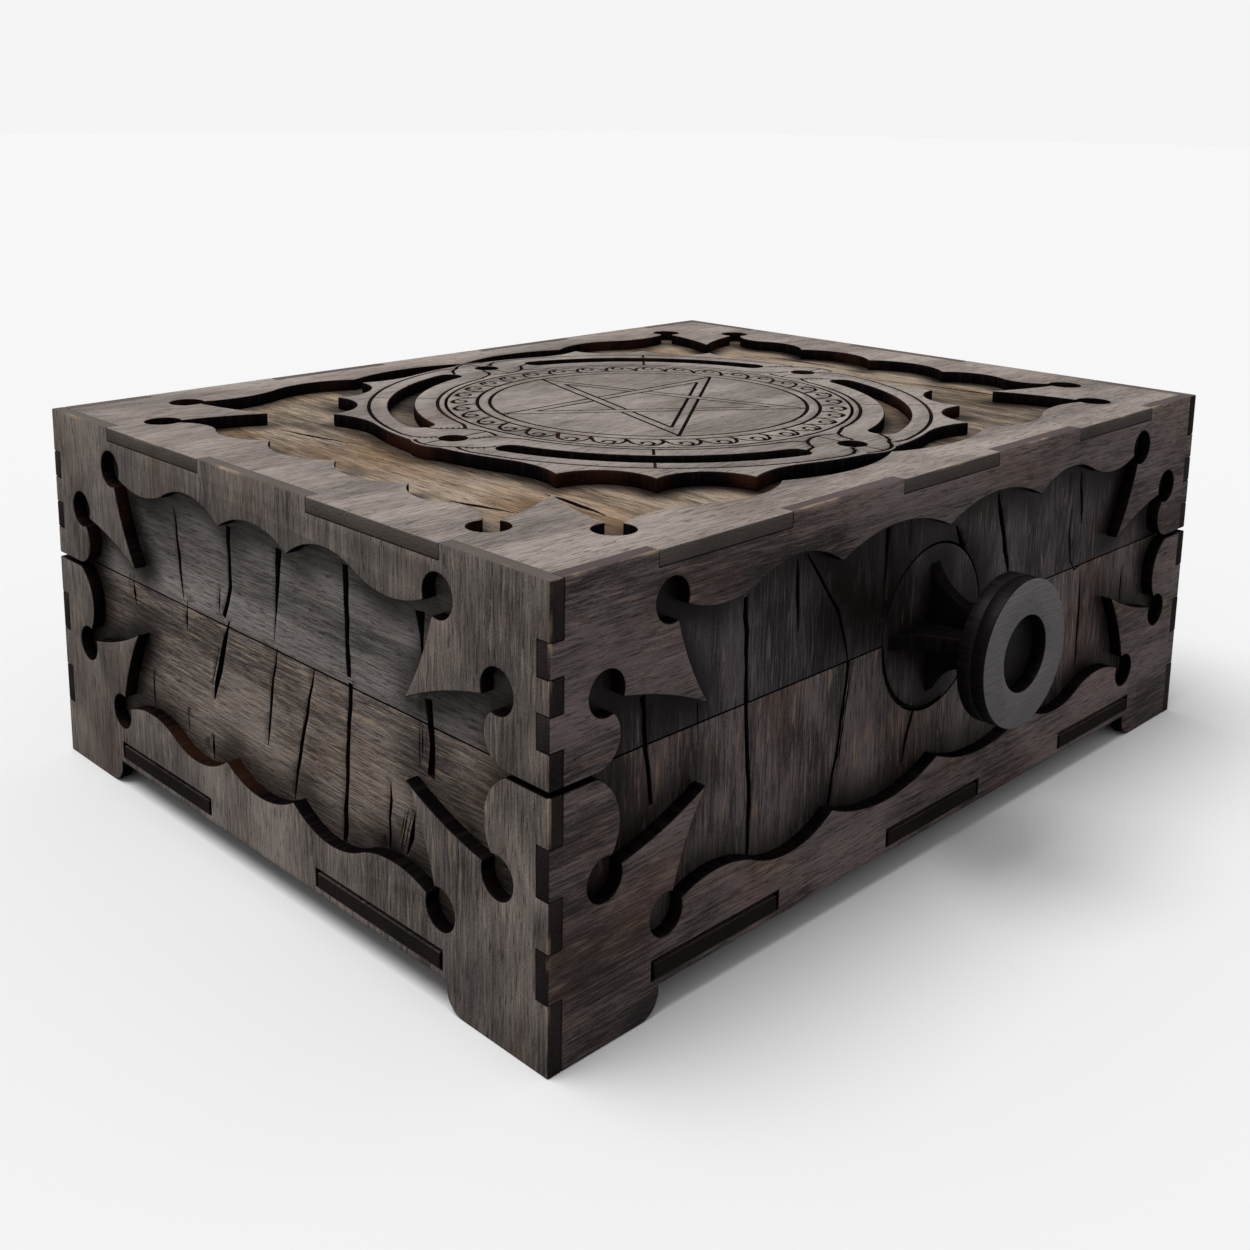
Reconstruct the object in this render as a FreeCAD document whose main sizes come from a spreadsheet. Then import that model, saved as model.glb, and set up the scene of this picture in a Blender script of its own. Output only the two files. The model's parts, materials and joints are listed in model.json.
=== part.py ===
"""Wooden puzzle box, modelled as the laser-cut plywood kit that it is built from.

Fretwork frames with finger joints stand outside plain plank panels. A lift-off lid sits on the base
round a liner. A star dial on the lid turns a pinion that throws a rack bolt into the back liner, and a
knob on the front turns a hook that catches a peg in the lid. Both locks are drawn open.
"""
import FreeCAD, Part
import math
import os
import Sketcher

# Driving sizes: alias, value in millimetres or degrees, what it sets
SIZES = (
    ("box_width", 220.0, "outer width of the walls, along X"),
    ("box_depth", 170.0, "outer depth of the walls, along Y"),
    ("box_height", 84.0, "top face above the ground"),
    ("sheet", 3.0, "thickness of the plywood"),
    ("seam_height", 49.0, "top edge of the base panels"),
    ("panel_seam_gap", 0.3, "gap between base and lid panels"),
    ("frame_seam_gap", 1.0, "gap between base and lid frames"),
    ("slide_clearance", 0.3, "gap between pieces that move past each other"),
    ("turning_fit", 0.05, "radial play of a dowel in its bore"),
    ("floor_height", 7.0, "underside of the floor above the ground"),
    ("slot_play", 0.8, "room round a floor tab in its slot"),
    ("foot_width", 26.0, "length of a foot along its wall"),
    ("foot_rise", 5.6, "height of the skirt above the ground"),
    ("foot_round", 4.5, "radius of the lower corner of a foot"),
    ("foot_finger", 13.0, "height of the lowest corner finger"),
    ("base_finger", 9.0, "height of the other base fingers"),
    ("lid_first_finger", 7.0, "height of the lowest lid finger above the seam"),
    ("lid_finger", 6.0, "height of the other lid fingers"),
    ("long_tab_inset", 24.0, "first edge tab from the corner on the long walls"),
    ("short_tab_inset", 27.0, "first edge tab from the corner on the short walls"),
    ("bulb_radius", 4.0, "round holes of the fretwork"),
    ("bulb_aim_angle", 45.0, "direction of a bulb's mouth"),
    ("bulb_mouth_angle", 22.0, "half angle of a bulb's mouth"),
    ("wall_bulb_inset", 27.5, "rail bulb from the wall's end"),
    ("wall_bulb_depth", 9.3, "rail bulb from the fretwork's outer line"),
    ("post_bulb_inset", 12.5, "post bulb from the wall's end"),
    ("post_bulb_depth", 21.4, "post bulb from the fretwork's outer line"),
    ("wall_tooth_inset", 37.0, "tooth tip from the wall's end"),
    ("wall_tooth_depth", 30.0, "tooth tip from the fretwork's outer line"),
    ("tooth_hollow", 0.8, "hollow of a tooth's edges"),
    ("post_width", 10.5, "post at the seam"),
    ("post_swell", 3.4, "swell of a post between seam and bulb"),
    ("base_fret_line", 9.0, "outer line of the base fretwork above the ground"),
    ("wall_cusp_depth", 12.6, "cusps of a wall rail from the fretwork's outer line"),
    ("wall_swell_end", 50.0, "end of the rail's swell from the wall's end"),
    ("wall_swell_depth", 11.2, "rail at the end of the swell"),
    ("rail_swell", 1.9, "swell of a rail beside its bulb"),
    ("rail_bow", 3.4, "rise of the bow beside the swell"),
    ("long_cusp_pitch", 36.0, "cusp spacing on the long walls"),
    ("short_cusp_pitch", 24.5, "cusp spacing on the short walls"),
    ("long_scallop", 4.0, "rise of a scallop on the long walls"),
    ("short_scallop", 3.4, "rise of a scallop on the short walls"),
    ("top_bulb_inset", 27.0, "front and back bulb from the top frame's end"),
    ("top_bulb_depth", 13.5, "front and back bulb from the top frame's edge"),
    ("top_side_bulb_inset", 29.0, "side bulb from the top frame's end"),
    ("top_side_bulb_depth", 12.5, "side bulb from the top frame's edge"),
    ("top_tooth_inset", 34.5, "top tooth tip from the side edge"),
    ("top_tooth_depth", 37.0, "top tooth tip from the front edge"),
    ("top_cusp_depth", 15.2, "front and back cusps from the edge"),
    ("top_swell_depth", 14.4, "front and back rail at the end of the swell"),
    ("top_side_cusp_depth", 20.0, "side cusps from the edge"),
    ("top_side_swell_end", 44.0, "end of the side swell from the top frame's end"),
    ("top_side_swell_depth", 17.0, "side rail at the end of the swell"),
    ("top_side_cusp_pitch", 24.0, "cusp spacing on the sides"),
    ("top_side_scallop", 5.0, "rise of a side scallop"),
    ("liner_lap", 6.0, "height of the liner above the seam"),
    ("ring_gap", 0.5, "gap between the ring's lobes and the top frame's cusps"),
    ("dial_share", 0.697, "radius of the turning star disc as a share of the ring's reach"),
    ("ring_share", 0.981, "plain edge of the dial ring as a share of its reach"),
    ("lobe_share", 0.134, "radius of a lobe as a share of the ring's reach"),
    ("slot_inner_share", 0.808, "inner edge of the ring's slots as a share of its reach"),
    ("slot_outer_share", 0.895, "outer edge of the ring's slots as a share of its reach"),
    ("bracket_share", 1.082, "points of the ring's brackets as a share of its reach"),
    ("lobe_hole", 3.0, "hole in a lobe"),
    ("ring_slot_start_angle", 15.0, "end of a slot from the lobe's line"),
    ("bracket_step_angle", 15.0, "angle between bracket points"),
    ("bracket_root_angle", 19.0, "foot of a bracket from the lobe's line"),
    ("bracket_hollow", 5.0, "hollow between bracket points"),
    ("bracket_flank", 1.4, "hollow of a bracket's flank"),
    ("dial_spindle_radius", 5.0, "dowel under the star disc"),
    ("dial_washer_radius", 7.4, "washers on the dial spindle"),
    ("gear_module", 1.5, "tooth size of the lock gear"),
    ("gear_teeth", 12, "teeth of the lock gear"),
    ("pressure_angle", 20.0, "flank angle of the rack"),
    ("gear_addendum", 1.4, "gear tooth above the pitch circle"),
    ("rack_addendum", 1.05, "rack tooth above the pitch line"),
    ("tooth_gap", 0.45, "room under a meshing tooth"),
    ("backlash", 0.15, "thinning of each tooth"),
    ("rack_teeth", 7, "teeth on the bolt"),
    ("bolt_bar", 7.1, "width of the bolt behind its teeth"),
    ("bolt_setback", 8.7, "nose of the open bolt before the back liner"),
    ("bolt_tail", 45.0, "tail of the open bolt before the dial's axis"),
    ("bolt_round", 2.0, "rounding of the bolt's nose"),
    ("guide_offset", 33.0, "bolt guides from the dial's axis"),
    ("guide_length", 9.0, "length of a bolt guide"),
    ("strike_half_width", 12.0, "half width of the strike plate above the back liner"),
    ("strike_lap", 14.0, "depth of the strike plate in the back liner"),
    ("strike_play", 0.5, "room round the bolt in the strike"),
    ("knob_reach", 18.3, "front of the knob before the wall"),
    ("knob_radius", 15.2, "knob rings"),
    ("knob_hole", 7.8, "hole in the front ring"),
    ("rose_radius", 17.5, "disc that carries the knob"),
    ("stem_upright_flare", 14.0, "half height of the upright stem plate at the rose"),
    ("stem_level_flare", 16.0, "half width of the level stem plate at the rose"),
    ("stem_waist", 6.5, "half width of both plates at the knob"),
    ("stem_hollow", 3.2, "hollow of the flared edges"),
    ("stem_tenon", 8.0, "half width of the tenons in the rose"),
    ("knob_spindle_radius", 4.0, "dowel behind the rose"),
    ("knob_washer_radius", 7.0, "washer on the end of the knob spindle"),
    ("bearing_half_width", 12.0, "raised bearing of the front liner"),
    ("bearing_rise", 7.5, "bearing above the liner's edge"),
    ("hook_hub", 9.0, "hub of the latch hook"),
    ("hook_reach", 35.0, "outer edge of the hook from the knob's axis"),
    ("hook_heel_angle", 3.0, "start angle of the hook's arm"),
    ("hook_seat_angle", 28.0, "angle of the slot's closed end"),
    ("hook_mouth_angle", 50.0, "angle of the slot's mouth"),
    ("knob_turn_angle", 90.0, "turn that closes the hook"),
    ("peg_pitch", 26.0, "peg from the knob's axis"),
    ("peg_angle", 30.0, "peg above the level line"),
    ("peg_radius", 3.0, "lid peg"),
    ("peg_tail", 2.0, "peg past the hook"),
    ("peg_socket", 1.8, "depth of the peg's blind hole in the lid panel"),
)

Z_AXIS = FreeCAD.Vector(0, 0, 1)
X_AXIS = FreeCAD.Vector(1, 0, 0)
SAME_POINT = 1e-6
QUARTER_RISE = 1 - math.sqrt(0.5)
LONG_WALL_STEPS = 5
SHORT_WALL_STEPS = 3
EVEN_FINGERS = 3
RING_QUARTERS = 4


class Size:
    """A number together with the sheet expression that it comes from."""

    def __init__(self, value, text):
        self.value = value
        self.text = text

    @staticmethod
    def of(item):
        """Returns item as a Size; a plain number becomes a constant."""
        if isinstance(item, Size):
            return item
        return Size(float(item), f"{float(item)!r}")

    def __add__(self, other):
        other = Size.of(other)
        return Size(self.value + other.value, f"({self.text} + {other.text})")

    def __sub__(self, other):
        other = Size.of(other)
        return Size(self.value - other.value, f"({self.text} - {other.text})")

    def __mul__(self, other):
        other = Size.of(other)
        return Size(self.value * other.value, f"({self.text} * {other.text})")

    def __truediv__(self, other):
        other = Size.of(other)
        return Size(self.value / other.value, f"({self.text} / {other.text})")

    def __neg__(self):
        return Size(-self.value, f"(-1 * {self.text})")

    def cos(self):
        """Returns the cosine of an angle in degrees."""
        return Size(math.cos(math.radians(self.value)), f"cos({self.text} * 1 deg)")

    def sin(self):
        """Returns the sine of an angle in degrees."""
        return Size(math.sin(math.radians(self.value)), f"sin({self.text} * 1 deg)")

    def tan(self):
        """Returns the tangent of an angle in degrees."""
        return self.sin() / self.cos()


class Dimensions:
    """The spreadsheet of driving sizes; an attribute gives the size of that alias."""

    def __init__(self, doc):
        self.cells = doc.addObject("Spreadsheet::Sheet", "Dimensions")
        for row, (alias, value, note) in enumerate(SIZES, start=1):
            self.cells.set(f"A{row}", note)
            self.cells.set(f"B{row}", str(value))
            self.cells.setAlias(f"B{row}", alias)
        doc.recompute()

    def __getattr__(self, alias):
        return Size(float(self.cells.get(alias)), f"Dimensions.{alias}")


class Bow:
    """A bent segment: its rise into the sheet, and its radius where that is given instead of found."""

    def __init__(self, rise, radius=None):
        self.rise = Size.of(rise)
        self.radius = radius


class Path:
    """A run of points and of the bows between them (None is a straight segment)."""

    def __init__(self, first):
        self.points = [first]
        self.bows = []

    def to(self, point, bow=None):
        """Adds a segment that ends at point."""
        self.points.append(point)
        self.bows.append(bow)
        return self

    def then(self, other):
        """Adds another path, with a straight segment to its first point unless they share it."""
        start = tuple(map(Size.of, other.points[0]))
        end = tuple(map(Size.of, self.points[-1]))
        if (flat(start) - flat(end)).Length > SAME_POINT:
            self.to(start)
        for point, bow in zip(other.points[1:], other.bows):
            self.to(point, bow)
        return self

    def back(self):
        """Returns the path travelled the other way."""
        path = Path(self.points[-1])
        for point, bow in zip(self.points[-2::-1], self.bows[::-1]):
            path.to(point, bow)
        return path

    def placed(self, place):
        """Returns the path with place(first, second) applied to each point."""
        path = Path(place(*self.points[0]))
        for point, bow in zip(self.points[1:], self.bows):
            path.to(place(*point), bow)
        return path


class Drawing:
    """One sketch on the base plane of a body, held by constraints that follow the sheet."""

    def __init__(self, body, name):
        self.sketch = body.newObject("Sketcher::SketchObject", name)
        planes = [item for item in body.Origin.OriginFeatures if item.Role == "XY_Plane"]
        self.sketch.AttachmentSupport = (planes[0], [""])
        self.sketch.MapMode = "FlatFace"

    def hold(self, constraints):
        """Adds constraints, each with the Size that drives it or None."""
        first = len(self.sketch.Constraints)
        self.sketch.addConstraint([constraint for constraint, _ in constraints])
        for index, (_, size) in enumerate(constraints, start=first):
            if size is not None:
                self.sketch.setExpression(f"Constraints[{index}]", size.text)

    def pin(self, geometry, end, point):
        """Returns the constraints that hold one end of a piece of geometry at a point."""
        constraints = []
        for kind, axis, size in zip(("DistanceX", "DistanceY"), (-2, -1), map(Size.of, point)):
            if abs(size.value) < SAME_POINT:
                constraints.append((Sketcher.Constraint("PointOnObject", geometry, end, axis), None))
            else:
                constraints.append((Sketcher.Constraint(kind, -1, 1, geometry, end, size.value), size))
        return constraints

    def bend(self, geometry, start, stop, radius):
        """Returns what fixes an arc between held ends; a half round is held at its centre."""
        chord = flat(stop) - flat(start)
        if 2 * radius.value - chord.Length > SAME_POINT:
            return (Sketcher.Constraint("Radius", geometry, radius.value), radius)
        middle = ((start[0] + stop[0]) / 2, (start[1] + stop[1]) / 2)
        across, up = self.pin(geometry, 3, middle)
        return up if abs(chord.x) > abs(chord.y) else across

    def loop(self, path):
        """Draws a closed outline, travelled with the sheet on its left."""
        points = [tuple(map(Size.of, point)) for point in path.points]
        bows = path.bows + [None]
        if (flat(points[0]) - flat(points[-1])).Length < SAME_POINT:
            points.pop()
            bows.pop()
        ends = []
        constraints = []
        for index, bow in enumerate(bows):
            start, stop = points[index], points[(index + 1) % len(points)]
            if bow is None:
                line = Part.LineSegment(flat(start), flat(stop))
                geometry = self.sketch.addGeometry(line, False)
                ends.append((geometry, 1, 2))
            else:
                radius = bow.radius or bow_radius(start, stop, bow.rise)
                geometry = self.sketch.addGeometry(bow_arc(flat(start), flat(stop), bow.rise.value), False)
                ends.append((geometry, 2, 1) if bow.rise.value > 0 else (geometry, 1, 2))
                constraints.append(self.bend(geometry, start, stop, radius))
        for index, (geometry, start_end, _) in enumerate(ends):
            before, _, stop_end = ends[index - 1]
            joint = Sketcher.Constraint("Coincident", before, stop_end, geometry, start_end)
            constraints.append((joint, None))
            constraints += self.pin(geometry, start_end, points[index])
        self.hold(constraints)
        return self

    def box(self, left, low, right, high):
        """Draws an upright rectangle."""
        return self.loop(Path((left, low)).to((right, low)).to((right, high)).to((left, high)))

    def circle(self, radius, center=(0, 0)):
        """Draws a circle."""
        x, y = map(Size.of, center)
        geometry = self.sketch.addGeometry(Part.Circle(flat((x, y)), Z_AXIS, radius.value), False)
        held = [(Sketcher.Constraint("Radius", geometry, radius.value), radius)]
        self.hold(held + self.pin(geometry, 3, (x, y)))
        return self


def flat(point):
    """Returns the vector of a point in the sketch plane."""
    return FreeCAD.Vector(point[0].value, point[1].value, 0)


def bow_radius(start, stop, rise):
    """Returns the radius of the arc from start to stop that rises by rise over its chord."""
    across = stop[0] - start[0]
    along = stop[1] - start[1]
    height = rise if rise.value > 0 else -rise
    return ((across * across + along * along) / 4 + height * height) / (height * 2)


def bow_arc(start, stop, rise):
    """Returns the arc from start to stop with its rise to the left of travel."""
    chord = stop - start
    normal = FreeCAD.Vector(-chord.y, chord.x, 0) / chord.Length
    radius = (chord.Length ** 2 / 4 + rise ** 2) / (2 * abs(rise))
    center = (start + stop) * 0.5 + normal * (rise - math.copysign(radius, rise))
    first, last = (stop, start) if rise > 0 else (start, stop)
    first_angle = math.atan2(first.y - center.y, first.x - center.x)
    last_angle = math.atan2(last.y - center.y, last.x - center.x)
    if last_angle <= first_angle:
        last_angle += 2 * math.pi
    return Part.ArcOfCircle(Part.Circle(center, Z_AXIS, radius), first_angle, last_angle)


def polar(radius, angle):
    """Returns the point at a radius and an angle in degrees."""
    radius, angle = Size.of(radius), Size.of(angle)
    return (radius * angle.cos(), radius * angle.sin())


class Piece:
    """One sub-part: a body whose features are added one after another."""

    def __init__(self, doc, label):
        self.doc = doc
        self.body = doc.addObject("PartDesign::Body", label)
        self.body.Label = label

    def draw(self, name):
        """Returns a new drawing on the body's base plane."""
        return Drawing(self.body, name)

    def pad(self, drawing, thickness):
        """Extrudes a drawing away from the base plane."""
        feature = self.body.newObject("PartDesign::Pad", drawing.sketch.Name + "_pad")
        feature.Profile = drawing.sketch
        feature.setExpression("Length", thickness.text)
        return feature

    def cut(self, drawing, depth=None):
        """Cuts a drawing through the body or to a depth, and proves that it took something away."""
        self.doc.recompute()
        before = self.body.Shape.Volume
        feature = self.body.newObject("PartDesign::Pocket", drawing.sketch.Name + "_cut")
        feature.Profile = drawing.sketch
        feature.Reversed = True
        if depth is None:
            feature.Type = "ThroughAll"
        else:
            feature.setExpression("Length", depth.text)
        self.doc.recompute()
        if not self.body.Shape.Volume < before:
            raise RuntimeError(f"{self.body.Label}: a cut took nothing away")
        return feature

    def mirror(self, *roles):
        """Mirrors the whole body about its origin planes, one after another."""
        for role in roles:
            self.doc.recompute()
            feature = self.body.newObject("PartDesign::Mirrored", f"mirror_{role}")
            feature.TransformMode = "Whole shape"
            planes = [item for item in self.body.Origin.OriginFeatures if item.Role == role]
            feature.MirrorPlane = (planes[0], [""])
            self.body.Tip = feature

    def repeat_round(self, original, drawing, count):
        """Repeats a feature round the axis of its drawing."""
        feature = self.body.newObject("PartDesign::PolarPattern", original.Name + "_round")
        feature.Originals = [original]
        feature.Axis = (drawing.sketch, ["N_Axis"])
        feature.Angle = 360
        feature.Occurrences = count
        self.body.Tip = feature
        return feature

    def place(self, position, rotation=FreeCAD.Rotation()):
        """Places the body; its position follows the sheet."""
        sizes = [Size.of(item) for item in position]
        self.body.Placement = FreeCAD.Placement(FreeCAD.Vector(*[size.value for size in sizes]), rotation)
        for axis, size in zip("xyz", sizes):
            self.body.setExpression(f"Placement.Base.{axis}", size.text)


class Wall:
    """One side of the box, seen from outside: across from its middle, up from the ground."""

    def __init__(self, dim, name, quarter_turns, is_long):
        self.dim = dim
        self.name = name
        self.turns = quarter_turns
        self.is_long = is_long
        self.length = dim.box_width if is_long else dim.box_depth
        self.reach = (dim.box_depth if is_long else dim.box_width) / 2

    def place(self, piece, inner_face):
        """Stands a piece up with its back at inner_face inside the wall's outer face."""
        angle = math.radians(90 * self.turns)
        away = self.reach - inner_face
        x = away * round(math.sin(angle))
        y = away * -round(math.cos(angle)) + middle_y(self.dim)
        turn = FreeCAD.Rotation(Z_AXIS, 90 * self.turns) * FreeCAD.Rotation(X_AXIS, 90)
        piece.place((x, y, 0), turn)

    def tab_steps(self):
        """Returns the ends of the edge tabs from the middle, and whether a tab is in the middle."""
        inset = self.dim.long_tab_inset if self.is_long else self.dim.short_tab_inset
        count = LONG_WALL_STEPS if self.is_long else SHORT_WALL_STEPS
        step = (self.length - inset * 2) / count
        return [step * (index + 0.5) for index in range((count + 1) // 2)], self.is_long

    def tabs(self, shrink=0):
        """Returns the ends of each edge tab, right half only; a middle tab is given whole."""
        steps, middle = self.tab_steps()
        edges = ([-steps[0]] if middle else []) + steps
        return [(edges[index] + shrink, edges[index + 1] - shrink) for index in range(0, len(edges), 2)]

    def finger_side(self, heights):
        """Returns the stepped right edge through finger heights, from the bottom up."""
        outer = self.length / 2
        inner = outer - self.dim.sheet
        edge, other = (inner, outer) if self.is_long else (outer, inner)
        path = Path((edge, heights[0]))
        for height in heights[1:-1]:
            path.to((edge, height)).to((other, height))
            edge, other = other, edge
        return path.to((edge, heights[-1]))

    def cusps(self):
        """Returns the rail's cusps from the middle outwards, with the scallop's rise."""
        if self.is_long:
            return [Size.of(0), self.dim.long_cusp_pitch], self.dim.long_scallop
        return [self.dim.short_cusp_pitch / 2], self.dim.short_scallop

    def fretwork(self, seam, line, upward):
        """Returns the right half of the opening's edge, from the middle of the rail to the seam.

        seam is the height where the post ends, line the height that depths are measured from, and
        upward is 1 where the rail is below the opening and -1 where it is above.
        """
        dim = self.dim
        cusps, scallop = self.cusps()
        rail = scalloped_rail(
            dim, self.length / 2, cusps, scallop, dim.wall_cusp_depth,
            (dim.wall_swell_end, dim.wall_swell_depth), (dim.wall_bulb_inset, dim.wall_bulb_depth),
            (dim.wall_tooth_inset, dim.wall_tooth_depth))
        path = rail.placed(lambda along, depth: (along, line + depth * upward))
        post = bulb_run(dim, dim.post_bulb_depth, dim.post_bulb_inset).back()
        end = self.length / 2
        post = post.placed(lambda along, depth: (end - depth, line + along * upward))
        path.to(post.points[0], Bow(dim.tooth_hollow))
        path.then(post)
        return path.to((end - dim.post_width, seam), Bow(-dim.post_swell))


def middle_y(dim):
    """Returns the middle of the walls; the knob's reach puts it behind the origin."""
    return dim.knob_reach / 2


def knob_axis(dim):
    """Returns the height of the knob's axis, in the middle of the seam."""
    return dim.seam_height + dim.panel_seam_gap / 2


def bulb_run(dim, along, depth):
    """Returns the edge round one bulb, from the mouth's rail side to its tooth side.

    along is measured from the corner and depth from the edge. The mouth opens away from both.
    """
    radius = dim.bulb_radius
    rail_side = polar(radius, dim.bulb_aim_angle - dim.bulb_mouth_angle)
    tooth_side = polar(radius, dim.bulb_aim_angle + dim.bulb_mouth_angle)
    path = Path((along + rail_side[0], depth + rail_side[1]))
    rise = radius * (dim.bulb_mouth_angle.cos() + 1)
    return path.to((along + tooth_side[0], depth + tooth_side[1]), Bow(rise, radius))


def scalloped_rail(dim, half, cusps, scallop, cusp_depth, swell, bulb, tooth):
    """Returns half a rail's edge, from its middle to the tip of the corner tooth.

    Points are (distance from the middle, depth from the edge). swell, bulb and tooth are (distance
    from the corner, depth).
    """
    swell_at = (half - swell[0], swell[1])
    if cusps[0].value > 0:
        path = Path((0, cusp_depth - scallop))
        opening = Bow(half_bow_rise(cusps[0], scallop), bow_radius_of(cusps[0] * 2, scallop))
        path.to((cusps[0], cusp_depth), opening)
    else:
        path = Path((0, cusp_depth))
    for cusp in cusps[1:]:
        path.to((cusp, cusp_depth), Bow(scallop))
    path.to(swell_at, Bow(dim.rail_bow))
    mouth = bulb_run(dim, bulb[0], bulb[1]).placed(lambda along, depth: (half - along, depth))
    path.to(mouth.points[0], Bow(-dim.rail_swell))
    path.then(mouth)
    return path.to((half - tooth[0], tooth[1]), Bow(dim.tooth_hollow))


def bow_radius_of(chord, rise):
    """Returns the radius of an arc from its chord and rise."""
    return (chord * chord / 4 + rise * rise) / (rise * 2)


def half_bow_rise(half_chord, rise):
    """Returns the rise of half of a symmetric bow over its own chord; only its value is used."""
    radius = bow_radius_of(half_chord * 2, rise).value
    chord = math.hypot(half_chord.value, rise.value)
    return Size.of(radius - math.sqrt(radius ** 2 - chord ** 2 / 4))


def base_frame(doc, dim, wall):
    """Outer fretwork of one wall below the seam, with its feet and the slots for the floor."""
    piece = Piece(doc, f"base_{wall.name}_frame")
    half = wall.length / 2
    top = knob_axis(dim) - dim.frame_seam_gap / 2
    heights = [Size.of(0), dim.foot_finger]
    for count in range(EVEN_FINGERS):
        heights.append(dim.foot_finger + dim.base_finger * (count + 1))
    heights.append(top)
    foot = half - dim.foot_width
    outline = Path((0, dim.foot_rise)).to((foot, dim.foot_rise)).to((foot, dim.foot_round))
    outline.to((foot + dim.foot_round, 0), Bow(-(dim.foot_round * QUARTER_RISE), dim.foot_round))
    outline.then(wall.finger_side(heights))
    outline.then(wall.fretwork(top, dim.base_fret_line, 1).back())
    piece.pad(piece.draw("outline").loop(outline), dim.sheet)
    piece.mirror("YZ_Plane")
    slots = piece.draw("floor_slots")
    for left, right in mirrored_tabs(wall.tabs()):
        slots.box(left, dim.floor_height, right, dim.floor_height + dim.sheet + dim.slot_play)
    piece.cut(slots)
    wall.place(piece, dim.sheet)


def mirrored_tabs(tabs):
    """Returns right-half tabs with the left ones added; a tab across the middle stays single."""
    both = []
    for left, right in tabs:
        both.append((left, right))
        if left.value > 0:
            both.append((-right, -left))
    return both


def lid_frame(doc, dim, wall):
    """Outer fretwork of one wall above the seam, notched for the tabs of the top frame."""
    piece = Piece(doc, f"lid_{wall.name}_frame")
    low = knob_axis(dim) + dim.frame_seam_gap / 2
    heights = [low, dim.seam_height + dim.lid_first_finger]
    for count in range(EVEN_FINGERS):
        heights.append(heights[1] + dim.lid_finger * (count + 1))
    heights.append(dim.box_height)
    outline = Path((wall.length / 2 - dim.post_width, low)).then(wall.finger_side(heights))
    steps, _ = wall.tab_steps()
    level, other = dim.box_height, dim.box_height - dim.sheet
    for step in steps[::-1]:
        outline.to((step, level)).to((step, other))
        level, other = other, level
    outline.to((0, level))
    outline.then(wall.fretwork(low, dim.box_height, -1))
    piece.pad(piece.draw("outline").loop(outline), dim.sheet)
    piece.mirror("YZ_Plane")
    wall.place(piece, dim.sheet)


def panel(doc, dim, wall, label, low, high, rose_edge=None, peg=None):
    """Plank panel behind the fretwork of one wall, with room for the rose where it has one."""
    piece = Piece(doc, label)
    half = wall.length / 2 - (dim.sheet if wall.is_long else dim.sheet * 2)
    room = dim.rose_radius + dim.slide_clearance
    outline = Path((-half, low))
    if rose_edge == "low":
        outline.to((-room, low)).to((0, low + room), Bow(room * QUARTER_RISE, room))
        outline.to((room, low), Bow(room * QUARTER_RISE, room))
    outline.to((half, low)).to((half, high))
    if rose_edge == "high":
        outline.to((room, high)).to((0, high - room), Bow(room * QUARTER_RISE, room))
        outline.to((-room, high), Bow(room * QUARTER_RISE, room))
    outline.to((-half, high))
    piece.pad(piece.draw("outline").loop(outline), dim.sheet)
    if peg is not None:
        piece.cut(piece.draw("peg_socket").circle(dim.peg_radius, peg), dim.peg_socket)
    wall.place(piece, dim.sheet * 2)


def panels(doc, dim, wall):
    """Both plank panels of one wall, edge to edge at the seam."""
    on_front = wall.name == "front"
    floor_top = dim.floor_height + dim.sheet
    lid_low = dim.seam_height + dim.panel_seam_gap
    across, up = polar(dim.peg_pitch, dim.peg_angle)
    base_rose, lid_rose, peg = None, None, None
    if on_front:
        base_rose, lid_rose, peg = "high", "low", (across, knob_axis(dim) + up)
    panel(doc, dim, wall, f"base_{wall.name}_panel", floor_top, dim.seam_height, base_rose)
    panel(doc, dim, wall, f"lid_{wall.name}_panel", lid_low, deck_underside(dim), lid_rose, peg)


def liner_gap(dim):
    """Returns the outer face of a liner from the wall's outer face."""
    return dim.sheet * 2 + dim.slide_clearance


def liner(doc, dim, wall):
    """Inner board that stands on the floor and laps past the seam to locate the lid."""
    piece = Piece(doc, f"{wall.name}_liner")
    gap = liner_gap(dim)
    half = wall.length / 2 - (gap if wall.is_long else gap + dim.sheet)
    low = dim.floor_height + dim.sheet
    high = dim.seam_height + dim.liner_lap
    outline = Path((-half, low)).to((half, low)).to((half, high))
    if wall.name == "front":
        bearing = dim.bearing_half_width
        outline.to((bearing, high)).to((-bearing, high), Bow(-dim.bearing_rise))
    if wall.name == "back":
        left, right = strike_sides(dim)
        outline.to((right, high)).to((right, high - dim.strike_lap))
        outline.to((left, high - dim.strike_lap)).to((left, high))
    drawing = piece.draw("outline").loop(outline.to((-half, high)))
    if wall.name == "front":
        drawing.circle(dim.knob_spindle_radius + dim.turning_fit, (0, knob_axis(dim)))
    piece.pad(drawing, dim.sheet)
    wall.place(piece, gap + dim.sheet)


def strike_sides(dim):
    """Returns both sides of the strike plate, from the middle of the back wall."""
    middle = -bolt_middle(dim)
    return middle - dim.strike_half_width, middle + dim.strike_half_width


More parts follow.
